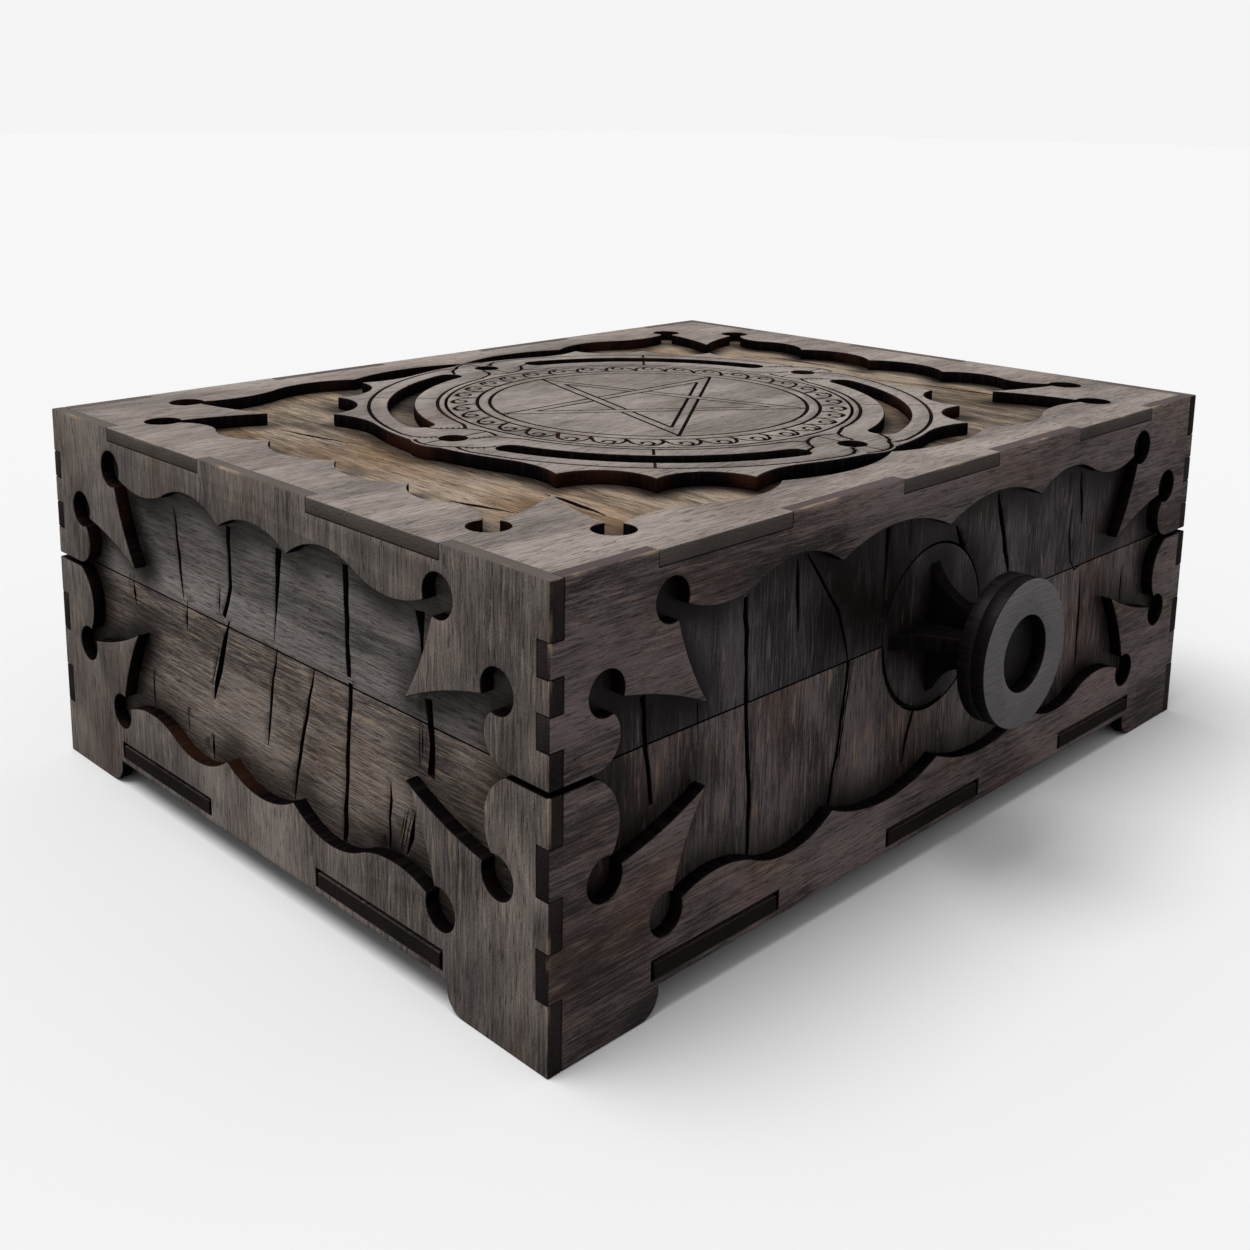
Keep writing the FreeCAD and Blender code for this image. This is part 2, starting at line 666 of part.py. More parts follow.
def bolt_strike(doc, dim, wall):
    """Strike plate let into the back liner, with a side notch that the bolt slides into."""
    piece = Piece(doc, "bolt_strike")
    left, right = strike_sides(dim)
    low = dim.seam_height + dim.liner_lap - dim.strike_lap
    high = deck_underside(dim) - dim.slide_clearance
    notch = -bolt_middle(dim) - dim.bolt_bar / 2 - dim.strike_play
    notch_low = bolt_level(dim) - dim.strike_play
    notch_high = bolt_level(dim) + dim.sheet + dim.strike_play
    outline = Path((left, low)).to((right, low)).to((right, notch_low)).to((notch, notch_low))
    outline.to((notch, notch_high)).to((right, notch_high)).to((right, high)).to((left, high))
    piece.pad(piece.draw("outline").loop(outline), dim.sheet)
    wall.place(piece, liner_gap(dim) + dim.sheet)


def deck_underside(dim):
    """Returns the height of the deck's lower face."""
    return dim.box_height - dim.sheet * 2


def bolt_level(dim):
    """Returns the lower face of the bolt and the pinion, a washer below the deck."""
    return deck_underside(dim) - dim.sheet * 2


def pitch_radius(dim):
    """Returns the pitch radius of the lock gear."""
    return dim.gear_module * dim.gear_teeth / 2


def bolt_back(dim):
    """Returns the line of the rack's tooth roots from the dial's axis."""
    return pitch_radius(dim) + dim.gear_addendum + dim.tooth_gap


def bolt_middle(dim):
    """Returns the middle of the bolt's bar from the dial's axis."""
    return bolt_back(dim) + dim.bolt_bar / 2


def tabbed_quarter(dim, walls, shrink):
    """Returns a quarter of a sheet between the walls, with tabs that reach their outer faces."""
    long_wall, short_wall = walls[0], walls[1]
    right, right_tab = dim.box_width / 2 - dim.sheet, dim.box_width / 2
    far, far_tab = dim.box_depth / 2 - dim.sheet, dim.box_depth / 2
    path = Path((right, 0))
    for low, high in short_wall.tabs(shrink):
        path.to((right, low)).to((right_tab, low)).to((right_tab, high)).to((right, high))
    path.to((right, far))
    for low, high in long_wall.tabs(shrink)[::-1]:
        path.to((high, far)).to((high, far_tab))
        if low.value > 0:
            path.to((low, far_tab)).to((low, far))
    return path.to((0, far_tab))


def floor_panel(doc, dim, walls):
    """Floor with tabs through the slots of the base frames."""
    piece = Piece(doc, "floor_panel")
    outline = Path((0, 0)).then(tabbed_quarter(dim, walls, dim.slot_play))
    piece.pad(piece.draw("outline").loop(outline), dim.sheet)
    piece.mirror("YZ_Plane", "XZ_Plane")
    piece.place((0, middle_y(dim), dim.floor_height))


def top_frame(doc, dim, walls):
    """Scalloped frame round the deck, with tabs in the notches of the lid frames."""
    piece = Piece(doc, "top_frame")
    width, depth = dim.box_width / 2, dim.box_depth / 2
    rail = scalloped_rail(
        dim, width, [Size.of(0), dim.long_cusp_pitch], dim.long_scallop, dim.top_cusp_depth,
        (dim.wall_swell_end, dim.top_swell_depth), (dim.top_bulb_inset, dim.top_bulb_depth),
        (dim.top_tooth_inset, dim.top_tooth_depth))
    side = scalloped_rail(
        dim, depth, [Size.of(0), dim.top_side_cusp_pitch], dim.top_side_scallop, dim.top_side_cusp_depth,
        (dim.top_side_swell_end, dim.top_side_swell_depth),
        (dim.top_side_bulb_inset, dim.top_side_bulb_depth), (dim.top_tooth_depth, dim.top_tooth_inset))
    outline = Path((width - dim.top_side_cusp_depth, 0)).then(tabbed_quarter(dim, walls, 0))
    outline.then(rail.placed(lambda along, deep: (along, depth - deep)))
    outline.then(side.placed(lambda along, deep: (width - deep, along)).back())
    piece.pad(piece.draw("outline").loop(outline), dim.sheet)
    piece.mirror("YZ_Plane", "XZ_Plane")
    piece.place((0, middle_y(dim), dim.box_height - dim.sheet))


def deck_panel(doc, dim):
    """Deck under the top frame, bored for the dial's spindle."""
    piece = Piece(doc, "deck_panel")
    width, depth = dim.box_width / 2 - dim.sheet, dim.box_depth / 2 - dim.sheet
    drawing = piece.draw("outline").box(-width, -depth, width, depth)
    drawing.circle(dim.dial_spindle_radius + dim.turning_fit)
    piece.pad(drawing, dim.sheet)
    piece.place((0, middle_y(dim), deck_underside(dim)))


def ring_reach(dim):
    """Returns the reach of the ring's lobes, which just clear the cusps of the top frame."""
    return dim.box_depth / 2 - dim.top_cusp_depth - dim.ring_gap


def dial_radius(dim):
    """Returns the radius of the turning star disc."""
    return ring_reach(dim) * dim.dial_share


def dial_ring(doc, dim):
    """Fixed ring round the dial: four pierced lobes, four arc slots and four pointed brackets."""
    piece = Piece(doc, "dial_ring")
    reach = ring_reach(dim)
    edge, points = reach * dim.ring_share, reach * dim.bracket_share
    slot_inner, slot_outer = reach * dim.slot_inner_share, reach * dim.slot_outer_share
    lobe_radius = reach * dim.lobe_share
    lobe_at = (reach - lobe_radius, 0)
    ring = piece.draw("ring").circle(edge).circle(dial_radius(dim) + dim.slide_clearance)
    piece.pad(ring, dim.sheet)
    lobe = piece.draw("lobe").circle(lobe_radius, lobe_at)
    piece.repeat_round(piece.pad(lobe, dim.sheet), lobe, RING_QUARTERS)
    diagonal = Size.of(180 / RING_QUARTERS)
    inner = (slot_outer + edge) / 2
    outline = Path(polar(inner, dim.bracket_root_angle)).to(polar(edge, dim.bracket_root_angle))
    outline.to(polar(points, diagonal - dim.bracket_step_angle), Bow(dim.bracket_flank))
    outline.to(polar(points, diagonal), Bow(dim.bracket_hollow))
    outline.to(polar(points, diagonal + dim.bracket_step_angle), Bow(dim.bracket_hollow))
    outline.to(polar(edge, diagonal * 2 - dim.bracket_root_angle), Bow(dim.bracket_flank))
    outline.to(polar(inner, diagonal * 2 - dim.bracket_root_angle))
    sweep = (diagonal - dim.bracket_root_angle).cos()
    outline.to(outline.points[0], Bow(inner * (Size.of(1) - sweep), inner))
    bracket = piece.draw("bracket").loop(outline)
    piece.repeat_round(piece.pad(bracket, dim.sheet), bracket, RING_QUARTERS)
    hole = piece.draw("lobe_hole").circle(dim.lobe_hole, lobe_at)
    piece.repeat_round(piece.cut(hole), hole, RING_QUARTERS)
    slot_stop = diagonal * 2 - dim.ring_slot_start_angle
    slot = piece.draw("slot")
    slot.loop(arc_slot(slot_inner, slot_outer, dim.ring_slot_start_angle, slot_stop))
    piece.repeat_round(piece.cut(slot), slot, RING_QUARTERS)
    piece.place((0, middle_y(dim), dim.box_height - dim.sheet))


def arc_slot(inner, outer, start, stop):
    """Returns a round-ended slot along an arc between two angles."""
    sweep = ((stop - start) / 2).cos()
    end = (outer - inner) / 2
    path = Path(polar(outer, start)).to(polar(outer, stop), Bow((sweep - 1) * outer, outer))
    path.to(polar(inner, stop), Bow(-end))
    path.to(polar(inner, start), Bow((Size.of(1) - sweep) * inner, inner))
    return path.to(polar(outer, start), Bow(-end))


def disc(doc, label, radius, thickness, bore=None):
    """Returns a round piece, with a bore where one is given."""
    piece = Piece(doc, label)
    drawing = piece.draw("outline").circle(radius)
    if bore is not None:
        drawing.circle(bore)
    piece.pad(drawing, thickness)
    return piece


def dial_pieces(doc, dim):
    """Star disc and what turns with it under the deck: spindle, two washers and the pinion."""
    y = middle_y(dim)
    deck = deck_underside(dim)
    bore = dim.dial_spindle_radius
    disc(doc, "dial_disc", dial_radius(dim), dim.sheet).place((0, y, dim.box_height - dim.sheet))
    disc(doc, "dial_spindle", bore, dim.sheet * 4).place((0, y, deck - dim.sheet * 3))
    for label, layer in (("dial_spacer", 1), ("dial_washer", 3)):
        washer = disc(doc, label, dim.dial_washer_radius, dim.sheet, bore)
        washer.place((0, y, deck - dim.sheet * layer))
    lock_pinion(doc, dim)


def lock_pinion(doc, dim):
    """Involute pinion; a tooth gap faces the rack when the lock is open."""
    pitch = pitch_radius(dim).value
    teeth = round(dim.gear_teeth.value)
    slope = math.radians(dim.pressure_angle.value)
    base = pitch * math.cos(slope)
    tip = pitch + dim.gear_addendum.value
    root = pitch - dim.rack_addendum.value - dim.tooth_gap.value
    half_pitch = math.pi / (2 * teeth) - dim.backlash.value / (2 * pitch)

    def flank(radius):
        """Returns half the tooth's angle at a radius on the involute."""
        lean = math.acos(base / radius)
        return half_pitch + (math.tan(slope) - slope) - (math.tan(lean) - lean)

    def at(radius, angle):
        return FreeCAD.Vector(radius * math.cos(angle), radius * math.sin(angle), 0)

    half_way = (base + tip) / 2
    edges = []
    step = 2 * math.pi / teeth
    for tooth in range(teeth):
        middle = (tooth + 0.5) * step
        foot = flank(base)
        rise = [at(radius, middle - flank(radius)) for radius in (base, half_way, tip)]
        fall = [at(radius, middle + flank(radius)) for radius in (tip, half_way, base)]
        low = at(root, middle - foot)
        high = at(root, middle + foot)
        following = at(root, middle + step - foot)
        edges.append(Part.LineSegment(low, rise[0]))
        edges.append(Part.Arc(*rise))
        edges.append(Part.Arc(rise[2], at(tip, middle), fall[0]))
        edges.append(Part.Arc(*fall))
        edges.append(Part.LineSegment(fall[2], high))
        edges.append(Part.Arc(high, at(root, middle + step / 2), following))
    outline = Part.Wire([edge.toShape() for edge in edges])
    bore = Part.Wire(Part.Circle(FreeCAD.Vector(), Z_AXIS, dim.dial_spindle_radius.value).toShape())
    face = Part.Face(outline).cut(Part.Face(bore))
    pinion = doc.addObject("Part::Feature", "lock_pinion")
    pinion.Shape = face.extrude(Z_AXIS * dim.sheet.value)
    pinion.Placement = FreeCAD.Placement(
        FreeCAD.Vector(0, middle_y(dim).value, bolt_level(dim).value), FreeCAD.Rotation())


def lock_bolt(doc, dim):
    """Sliding bolt with a rack cut along one edge, drawn open."""
    piece = Piece(doc, "lock_bolt")
    back = bolt_back(dim)
    outer = back + dim.bolt_bar
    tip = pitch_radius(dim) - dim.rack_addendum
    pitch = dim.gear_module * math.pi
    slope = dim.pressure_angle.tan()
    half_root = pitch / 4 - dim.backlash / 2 + (back - pitch_radius(dim)) * slope
    half_tip = pitch / 4 - dim.backlash / 2 - dim.rack_addendum * slope
    nose = dim.box_depth / 2 - liner_gap(dim) - dim.sheet - dim.bolt_setback
    corner = dim.bolt_round
    outline = Path((back, -dim.bolt_tail)).to((outer, -dim.bolt_tail)).to((outer, nose - corner))
    outline.to((outer - corner, nose), Bow(-(corner * QUARTER_RISE), corner))
    outline.to((back + corner, nose)).to((back, nose - corner), Bow(-(corner * QUARTER_RISE), corner))
    for tooth in range(1, 1 - round(dim.rack_teeth.value), -1):
        middle = pitch * tooth
        outline.to((back, middle + half_root)).to((tip, middle + half_tip))
        outline.to((tip, middle - half_tip)).to((back, middle - half_root))
    piece.pad(piece.draw("outline").loop(outline), dim.sheet)
    piece.place((0, middle_y(dim), bolt_level(dim)))


def bolt_guides(doc, dim):
    """Two blocks glued under the deck, each with a mortise that the bolt slides through."""
    play = dim.slide_clearance
    half_room = dim.bolt_bar / 2 + play
    low = -(dim.sheet * 2 + play)
    for label, side in (("front_bolt_guide", -1), ("back_bolt_guide", 1)):
        piece = Piece(doc, label)
        half_block = half_room + dim.sheet
        drawing = piece.draw("section").box(-half_block, low - dim.sheet, half_block, 0)
        drawing.box(-half_room, low, half_room, play - dim.sheet)
        piece.pad(drawing, dim.guide_length)
        y = middle_y(dim) + dim.guide_offset * side + dim.guide_length / 2
        piece.place((bolt_middle(dim), y, deck_underside(dim)), FreeCAD.Rotation(X_AXIS, 90))


def stand(dim, piece, inner_face, turn=0):
    """Stands a piece on the knob's axis, its back at inner_face inside the front wall's outer face."""
    y = middle_y(dim) - dim.box_depth / 2 + inner_face
    rotation = FreeCAD.Rotation(X_AXIS, 90) * FreeCAD.Rotation(Z_AXIS, turn)
    piece.place((0, y, knob_axis(dim)), rotation)


def knob_pieces(doc, dim):
    """Two stacked discs on crossed stem plates, the rose that carries them, and the latch behind."""
    front_ring = disc(doc, "knob_front_ring", dim.knob_radius, dim.sheet, dim.knob_hole)
    stand(dim, front_ring, dim.sheet - dim.knob_reach)
    stand(dim, disc(doc, "knob_back_disc", dim.knob_radius, dim.sheet), dim.sheet * 2 - dim.knob_reach)
    stem_plates(doc, dim)
    rose = disc(doc, "rose_disc", dim.rose_radius, dim.sheet)
    half = dim.sheet / 2
    rose.cut(rose.draw("level_mortise").box(-dim.stem_tenon, -half, dim.stem_tenon, half))
    rose.cut(rose.draw("upright_mortise").box(-half, -dim.stem_tenon, half, dim.stem_tenon))
    stand(dim, rose, dim.sheet * 2)
    spindle_length = dim.sheet * 3 + dim.slide_clearance * 2
    spindle = disc(doc, "knob_spindle", dim.knob_spindle_radius, spindle_length)
    stand(dim, spindle, dim.sheet * 2 + spindle_length)
    latch_hook(doc, dim)
    washer = disc(doc, "knob_washer", dim.knob_washer_radius, dim.sheet, dim.knob_spindle_radius)
    stand(dim, washer, hook_back(dim) + dim.sheet)


def hook_back(dim):
    """Returns the hook's inner face from the front wall's outer face."""
    return dim.sheet * 4 + dim.slide_clearance * 2


def stem_plates(doc, dim):
    """Upright and level plates, flared towards the rose and halved into each other."""
    end = dim.knob_reach
    middle, half = end / 2, dim.sheet / 2
    back = middle_y(dim) - dim.box_depth / 2 + dim.sheet * 2
    plates = (
        ("stem_upright_plate", dim.stem_upright_flare, True),
        ("stem_level_plate", dim.stem_level_flare, False),
    )
    for label, flare, slot_in_front in plates:
        piece = Piece(doc, label)
        outline = Path((0, -dim.stem_tenon)).to((dim.sheet, -dim.stem_tenon)).to((dim.sheet, -flare))
        outline.to((end, -dim.stem_waist), Bow(dim.stem_hollow))
        if slot_in_front:
            outline.to((end, -half)).to((middle, -half)).to((middle, half)).to((end, half))
        outline.to((end, dim.stem_waist)).to((dim.sheet, flare), Bow(dim.stem_hollow))
        outline.to((dim.sheet, dim.stem_tenon)).to((0, dim.stem_tenon))
        if not slot_in_front:
            outline.to((0, half)).to((middle, half)).to((middle, -half)).to((0, -half))
        piece.pad(piece.draw("outline").loop(outline), dim.sheet)
        forward = FreeCAD.Rotation(Z_AXIS, -90)
        if slot_in_front:
            piece.place((half, back, knob_axis(dim)), forward * FreeCAD.Rotation(X_AXIS, 90))
        else:
            piece.place((0, back, knob_axis(dim) - half), forward)


def latch_hook(doc, dim):
    """Hook on the knob's spindle: an arm with an arc slot that swings over the lid's peg."""
    piece = Piece(doc, "latch_hook")
    hub = piece.draw("hub").circle(dim.hook_hub).circle(dim.knob_spindle_radius)
    piece.pad(hub, dim.sheet)
    room = dim.peg_radius + dim.slide_clearance
    slot_inner, slot_outer = dim.peg_pitch - room, dim.peg_pitch + room
    inner = (dim.knob_spindle_radius + dim.hook_hub) / 2
    heel, seat, mouth = dim.hook_heel_angle, dim.hook_seat_angle, dim.hook_mouth_angle
    arm = Size.of(1) - ((mouth - heel) / 2).cos()
    throat = Size.of(1) - ((mouth - seat) / 2).cos()
    outline = Path(polar(inner, heel)).to(polar(dim.hook_reach, heel))
    outline.to(polar(dim.hook_reach, mouth), Bow(-(dim.hook_reach * arm), dim.hook_reach))
    outline.to(polar(slot_outer, mouth))
    outline.to(polar(slot_outer, seat), Bow(slot_outer * throat, slot_outer))
    outline.to(polar(slot_inner, seat), Bow(room))
    outline.to(polar(slot_inner, mouth), Bow(-(slot_inner * throat), slot_inner))
    outline.to(polar(inner, mouth))
    outline.to(polar(inner, heel), Bow(inner * arm, inner))
    piece.pad(piece.draw("arm").loop(outline), dim.sheet)
    open_angle = dim.peg_angle - dim.hook_seat_angle - dim.knob_turn_angle
    stand(dim, piece, hook_back(dim), open_angle.value)


def lid_peg(doc, dim):
    """Peg glued into a blind hole of the lid's front panel, for the hook to catch."""
    inner_face = hook_back(dim) + dim.peg_tail
    peg = disc(doc, "lid_peg", dim.peg_radius, inner_face - dim.sheet * 2 + dim.peg_socket)
    across, up = polar(dim.peg_pitch, dim.peg_angle)
    y = middle_y(dim) - dim.box_depth / 2 + inner_face
    peg.place((across, y, knob_axis(dim) + up), FreeCAD.Rotation(X_AXIS, 90))


def write_parts(doc):
    """Checks every object, then writes each sub-part under its label."""
    for item in doc.Objects:
        if "Invalid" in item.State or "Error" in item.State:
            raise RuntimeError(f"{item.Label}: {item.State}")
    pieces = [item for item in doc.Objects if item.TypeId == "PartDesign::Body"]
    pieces += [item for item in doc.Objects if item.TypeId == "Part::Feature"]
    for item in pieces:
        if item.Shape.isNull() or not item.Shape.isValid():
            raise RuntimeError(f"{item.Label}: bad shape")
    os.makedirs("parts", exist_ok=True)
    for item in pieces:
        item.Shape.exportStep(f"parts/{item.Label}.step")
        box = item.Shape.BoundBox
        print(f"{item.Label}: {len(item.Shape.Solids)} solid, {item.Shape.Volume:.0f} mm3, "
              f"z {box.ZMin:.2f} to {box.ZMax:.2f}")


def main():
    """Builds the document and writes every sub-part."""
    doc = FreeCAD.newDocument("puzzle_box")
    dim = Dimensions(doc)
    walls = (
        Wall(dim, "front", 0, True),
        Wall(dim, "right", 1, False),
        Wall(dim, "back", 2, True),
        Wall(dim, "left", 3, False),
    )
    for wall in walls:
        base_frame(doc, dim, wall)
        panels(doc, dim, wall)
        liner(doc, dim, wall)
        lid_frame(doc, dim, wall)
    floor_panel(doc, dim, walls)
    bolt_strike(doc, dim, walls[2])
    deck_panel(doc, dim)
    top_frame(doc, dim, walls)
    dial_ring(doc, dim)
    dial_pieces(doc, dim)
    lock_bolt(doc, dim)
    bolt_guides(doc, dim)
    knob_pieces(doc, dim)
    lid_peg(doc, dim)
    doc.recompute()
    write_parts(doc)


if __name__ == "__main__":
    main()
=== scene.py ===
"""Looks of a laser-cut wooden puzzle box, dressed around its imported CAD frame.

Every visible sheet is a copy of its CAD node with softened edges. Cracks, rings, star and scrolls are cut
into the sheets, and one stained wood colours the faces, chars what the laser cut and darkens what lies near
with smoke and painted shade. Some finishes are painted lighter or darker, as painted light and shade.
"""
from __future__ import annotations

import json
import logging
import math
import random
from dataclasses import dataclass, field
from enum import Enum
from functools import partial
from typing import Any, Callable, Sequence

import bpy
from mathutils import Matrix, Vector
from mathutils.bvhtree import BVHTree

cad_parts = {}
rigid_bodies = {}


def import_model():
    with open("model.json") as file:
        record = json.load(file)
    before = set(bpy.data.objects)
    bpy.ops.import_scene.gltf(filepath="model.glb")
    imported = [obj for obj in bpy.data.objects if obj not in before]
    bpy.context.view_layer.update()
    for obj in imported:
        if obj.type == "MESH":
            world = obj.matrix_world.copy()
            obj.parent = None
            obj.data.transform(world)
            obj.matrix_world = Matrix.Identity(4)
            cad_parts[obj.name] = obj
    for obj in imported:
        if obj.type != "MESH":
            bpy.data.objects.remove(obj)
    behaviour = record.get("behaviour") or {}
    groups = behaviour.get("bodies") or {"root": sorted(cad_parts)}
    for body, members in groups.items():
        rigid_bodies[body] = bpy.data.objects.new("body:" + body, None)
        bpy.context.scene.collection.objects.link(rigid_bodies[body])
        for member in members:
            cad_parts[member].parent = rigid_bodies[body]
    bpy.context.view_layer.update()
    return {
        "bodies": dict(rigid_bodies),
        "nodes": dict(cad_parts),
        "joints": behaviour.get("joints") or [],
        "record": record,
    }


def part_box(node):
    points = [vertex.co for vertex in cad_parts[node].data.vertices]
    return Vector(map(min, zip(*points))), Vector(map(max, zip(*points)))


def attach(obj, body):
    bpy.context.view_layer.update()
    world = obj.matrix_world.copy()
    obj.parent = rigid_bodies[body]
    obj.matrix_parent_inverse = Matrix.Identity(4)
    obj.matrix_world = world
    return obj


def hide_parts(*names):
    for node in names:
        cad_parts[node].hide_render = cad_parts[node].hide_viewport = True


LOG = logging.getLogger("puzzle_box")
MM = 0.001
# Seed and range of the random shifts that set the sheets' patterns apart
PATTERN_SEED = 5
PATTERN_SPREAD = 50
# Least width of a tapering line, as a share of its full width
LEAST_AT_ENDS = 0.25
LEAST_AT_FALL = 0.15
# Sine by which a line swells between thin ends: the share at which it starts, and its power
SWELL_START = 0.04
SWELL_POWER = 0.6
Colour = tuple[float, float, float]
Point = tuple[float, float]
Run = tuple[Point, ...]
Span = tuple[float, float]
Nodes = dict[str, bpy.types.Object]


class Axis(Enum):
    """An axis of the shared frame."""

    X = 0
    Y = 1
    Z = 2


class Side(Enum):
    """A wall of the box, in the order in which the walls are made."""

    FRONT = "front"
    RIGHT = "right"
    BACK = "back"
    LEFT = "left"


class Level(Enum):
    """The half of the box that a wall's sheet belongs to."""

    BASE = "base"
    LID = "lid"


class Taper(Enum):
    """How a cut line changes width along its run."""

    EVEN = "even"
    ENDS = "thin at both ends"
    FALL = "wide at the start"

    def at(self, share: float) -> float:
        """Gives the line's width at one place.

        Args:
            share: How far along the line, from 0 to 1.

        Returns:
            A share of the full width.
        """
        if self is Taper.ENDS:
            swell = math.sin(math.pi * (SWELL_START + (1 - 2 * SWELL_START) * share)) ** SWELL_POWER
            return max(LEAST_AT_ENDS, swell)
        return max(LEAST_AT_FALL, 1.0 - share) if self is Taper.FALL else 1.0


@dataclass(frozen=True)
class Carcass:
    """The outer planes of the box, in metres."""

    half_width: float = 110 * MM
    half_depth: float = 85 * MM
    middle: float = 9.15 * MM
    height: float = 84 * MM
    seam: float = 49.15 * MM
    ply: float = 3 * MM


BOX = Carcass()
# Where the photograph was taken from, fitted to the corners of the box
EYE = Vector((-0.2541, -0.23219, 0.1544))


def paint(red: int, green: int, blue: int) -> Colour:
    """Turns a display colour, from 0 to 255, into the linear one that shaders use."""
    offset, power = 0.055, 2.4
    return tuple(((value / 255 + offset) / (1 + offset)) ** power for value in (red, green, blue))


class Signal:
    """A number that varies over a surface, for use in Python expressions."""

    def __init__(self, graph: ShaderGraph, socket: bpy.types.NodeSocket) -> None:
        """Wraps an output socket."""
        self.graph = graph
        self.socket = socket

    def math(self, operation: str, *others: Signal | float) -> Signal:
        """Adds one Math node on this value and the others, and returns its result."""
        values = dict(enumerate((self, *others)))
        return self.graph.value("ShaderNodeMath", {"operation": operation}, values)

    def __add__(self, other: Signal | float) -> Signal:
        """Returns the sum."""
        return self.math("ADD", other)

    def __sub__(self, other: Signal | float) -> Signal:
        """Returns the difference."""
        return self.math("SUBTRACT", other)

    def __rsub__(self, other: float) -> Signal:
        """Returns the reflected difference."""
        return (self * -1.0) + other

    def __mul__(self, other: Signal | float) -> Signal:
        """Returns the product."""
        return self.math("MULTIPLY", other)

    def __abs__(self) -> Signal:
        """Returns the size without the sign."""
        return self.math("ABSOLUTE")

    def __or__(self, other: Signal | float) -> Signal:
        """Returns the greater of two masks."""
        return self.math("MAXIMUM", other)

    # Reflected forms of the operators whose order makes no difference
    __radd__ = __add__
    __rmul__ = __mul__
    __ror__ = __or__

    def step(self, low: float, high: float) -> Signal:
        """Returns a smooth step from 0 at low to 1 at high."""
        inputs = {"Value": self, "From Min": low, "From Max": high}
        return self.graph.value("ShaderNodeMapRange", {"interpolation_type": "SMOOTHSTEP"}, inputs)


class ShaderGraph:
    """The node tree of a material or of the world."""

    # Sockets of a Mix node that mixes colours
    MIX_FACTOR, MIX_LOW, MIX_HIGH, MIX_RESULT = 0, 6, 7, 2

    def __init__(self, owner: bpy.types.Material | bpy.types.World) -> None:
        """Starts with an empty tree.

        Args:
            owner: The material or the world.
        """
        owner.use_nodes = True
        self.owner = owner
        self.tree = owner.node_tree
        self.tree.nodes.clear()

    def node(self, kind: str, settings: dict[str, Any] | None = None,
             inputs: dict[str | int, Any] | None = None) -> bpy.types.Node:
        """Adds any node.

        Args:
            kind: The node's type.
            settings: Properties, which are set first.
            inputs: Values, signals or sockets by the socket's name or number.

        Returns:
            The node.
        """
        node = self.tree.nodes.new(kind)
        for key, value in (settings or {}).items():
            setattr(node, key, value)
        for key, value in (inputs or {}).items():
            socket = node.inputs[key]
            if isinstance(value, Signal):
                self.tree.links.new(value.socket, socket)
            elif isinstance(value, bpy.types.NodeSocket):
                self.tree.links.new(value, socket)
            elif socket.type == "RGBA":
                socket.default_value = (*value, 1.0)
            else:
                socket.default_value = value
        return node

    def value(self, kind: str, settings: dict[str, Any], inputs: dict[str | int, Any],
              output: str | int = 0) -> Signal:
        """Adds a node and returns one of its outputs as a signal."""
        return Signal(self, self.node(kind, settings, inputs).outputs[output])

    def blend(self, factor: Signal, low: Any, high: Any) -> bpy.types.NodeSocket:
        """Mixes two colours or colour sockets, where a factor of 0 gives low and 1 gives high."""
        inputs = {self.MIX_FACTOR: factor, self.MIX_LOW: low, self.MIX_HIGH: high}
        return self.node("ShaderNodeMix", {"data_type": "RGBA"}, inputs).outputs[self.MIX_RESULT]

    def seen(self) -> Signal:
        """Tells what is seen from what only throws light.

        Returns:
            1 for what the camera sees, also by reflection or through glass, and 0 for other light.
        """
        path = self.node("ShaderNodeLightPath")
        camera, glossy, clear = (Signal(self, path.outputs[f"Is {ray} Ray"])
                                 for ray in ("Camera", "Glossy", "Transmission"))
        return camera | glossy | clear


@dataclass(frozen=True)
class Sheet:
    """How a sheet lies: its thickness, its grain and its two faces in metres."""

    through: Axis
    grain: Axis
    face: float
    back: float

    def at(self, along: float, across: float) -> Vector:
        """Returns the point on the face with these two coordinates, lower axis first."""
        values = [along, across]
        return Vector([self.face if axis is self.through else values.pop(0) for axis in Axis])


@dataclass(frozen=True)
class StainedPly:
    """Stained plywood: figured faces, charred cuts, and smoke with painted shade round them.

    Pale and dark are the ends of the figure. Fleck, warm and pore lie over it, and char, ash and ember are on
    the cuts. One colour serves the smoke and painted shade round them, and one the wear with a painted
    highlight on the rubbed arrises. Figure, flecks, warmth, pores and glow are the shares of streaks, flecks,
    warm clouds, pores and embers. Contrast hardens the tone, ends makes sanded ends paler, and the two sheens
    are the gloss of faces and of cuts.
    """

    pale: Colour
    dark: Colour
    fleck: Colour = paint(182, 164, 146)
    warm: Colour = paint(124, 92, 74)
    pore: Colour = paint(34, 29, 29)
    char: Colour = paint(13, 9, 10)
    ash: Colour = paint(78, 68, 66)
    ember: Colour = paint(92, 54, 34)
    # The colour of smoke and of painted shade near the cuts and the sheets on top
    smoke: Colour = paint(22, 16, 15)
    # The colour of wear and of a painted highlight on the rubbed arrises
    worn: Colour = paint(196, 172, 142)
    figure: float = 0.2
    flecks: float = 0.35
    warmth: float = 0.2
    pores: float = 0.6
    glow: float = 0.2
    contrast: float = 0.0
    ends: float = 0.0
    sheen: float = 0.12
    burnt_sheen: float = 0.03
    roughness: float = 0.56
    plain_back: bool = True

    def material(self, name: str, sheet: Sheet, seed: float, sanded: bool = False) -> bpy.types.Material:
        """Makes a sheet's material, shifted by its seed and with its outer ends sanded or charred."""
        return WoodShader(self, sheet, seed, ShaderGraph(bpy.data.materials.new(name))).build(sanded)


@dataclass(frozen=True)
class Noise:
    """One layer of the wood's pattern: noise that is drawn out along the grain.

    Its shift sets it apart from the sheet's other layers. Along and across are its pattern per metre, detail
    is its octaves, and low and high are the levels that become 0 and 1.
    """

    shift: float
    along: float
    across: float
    detail: float
    low: float
    high: float


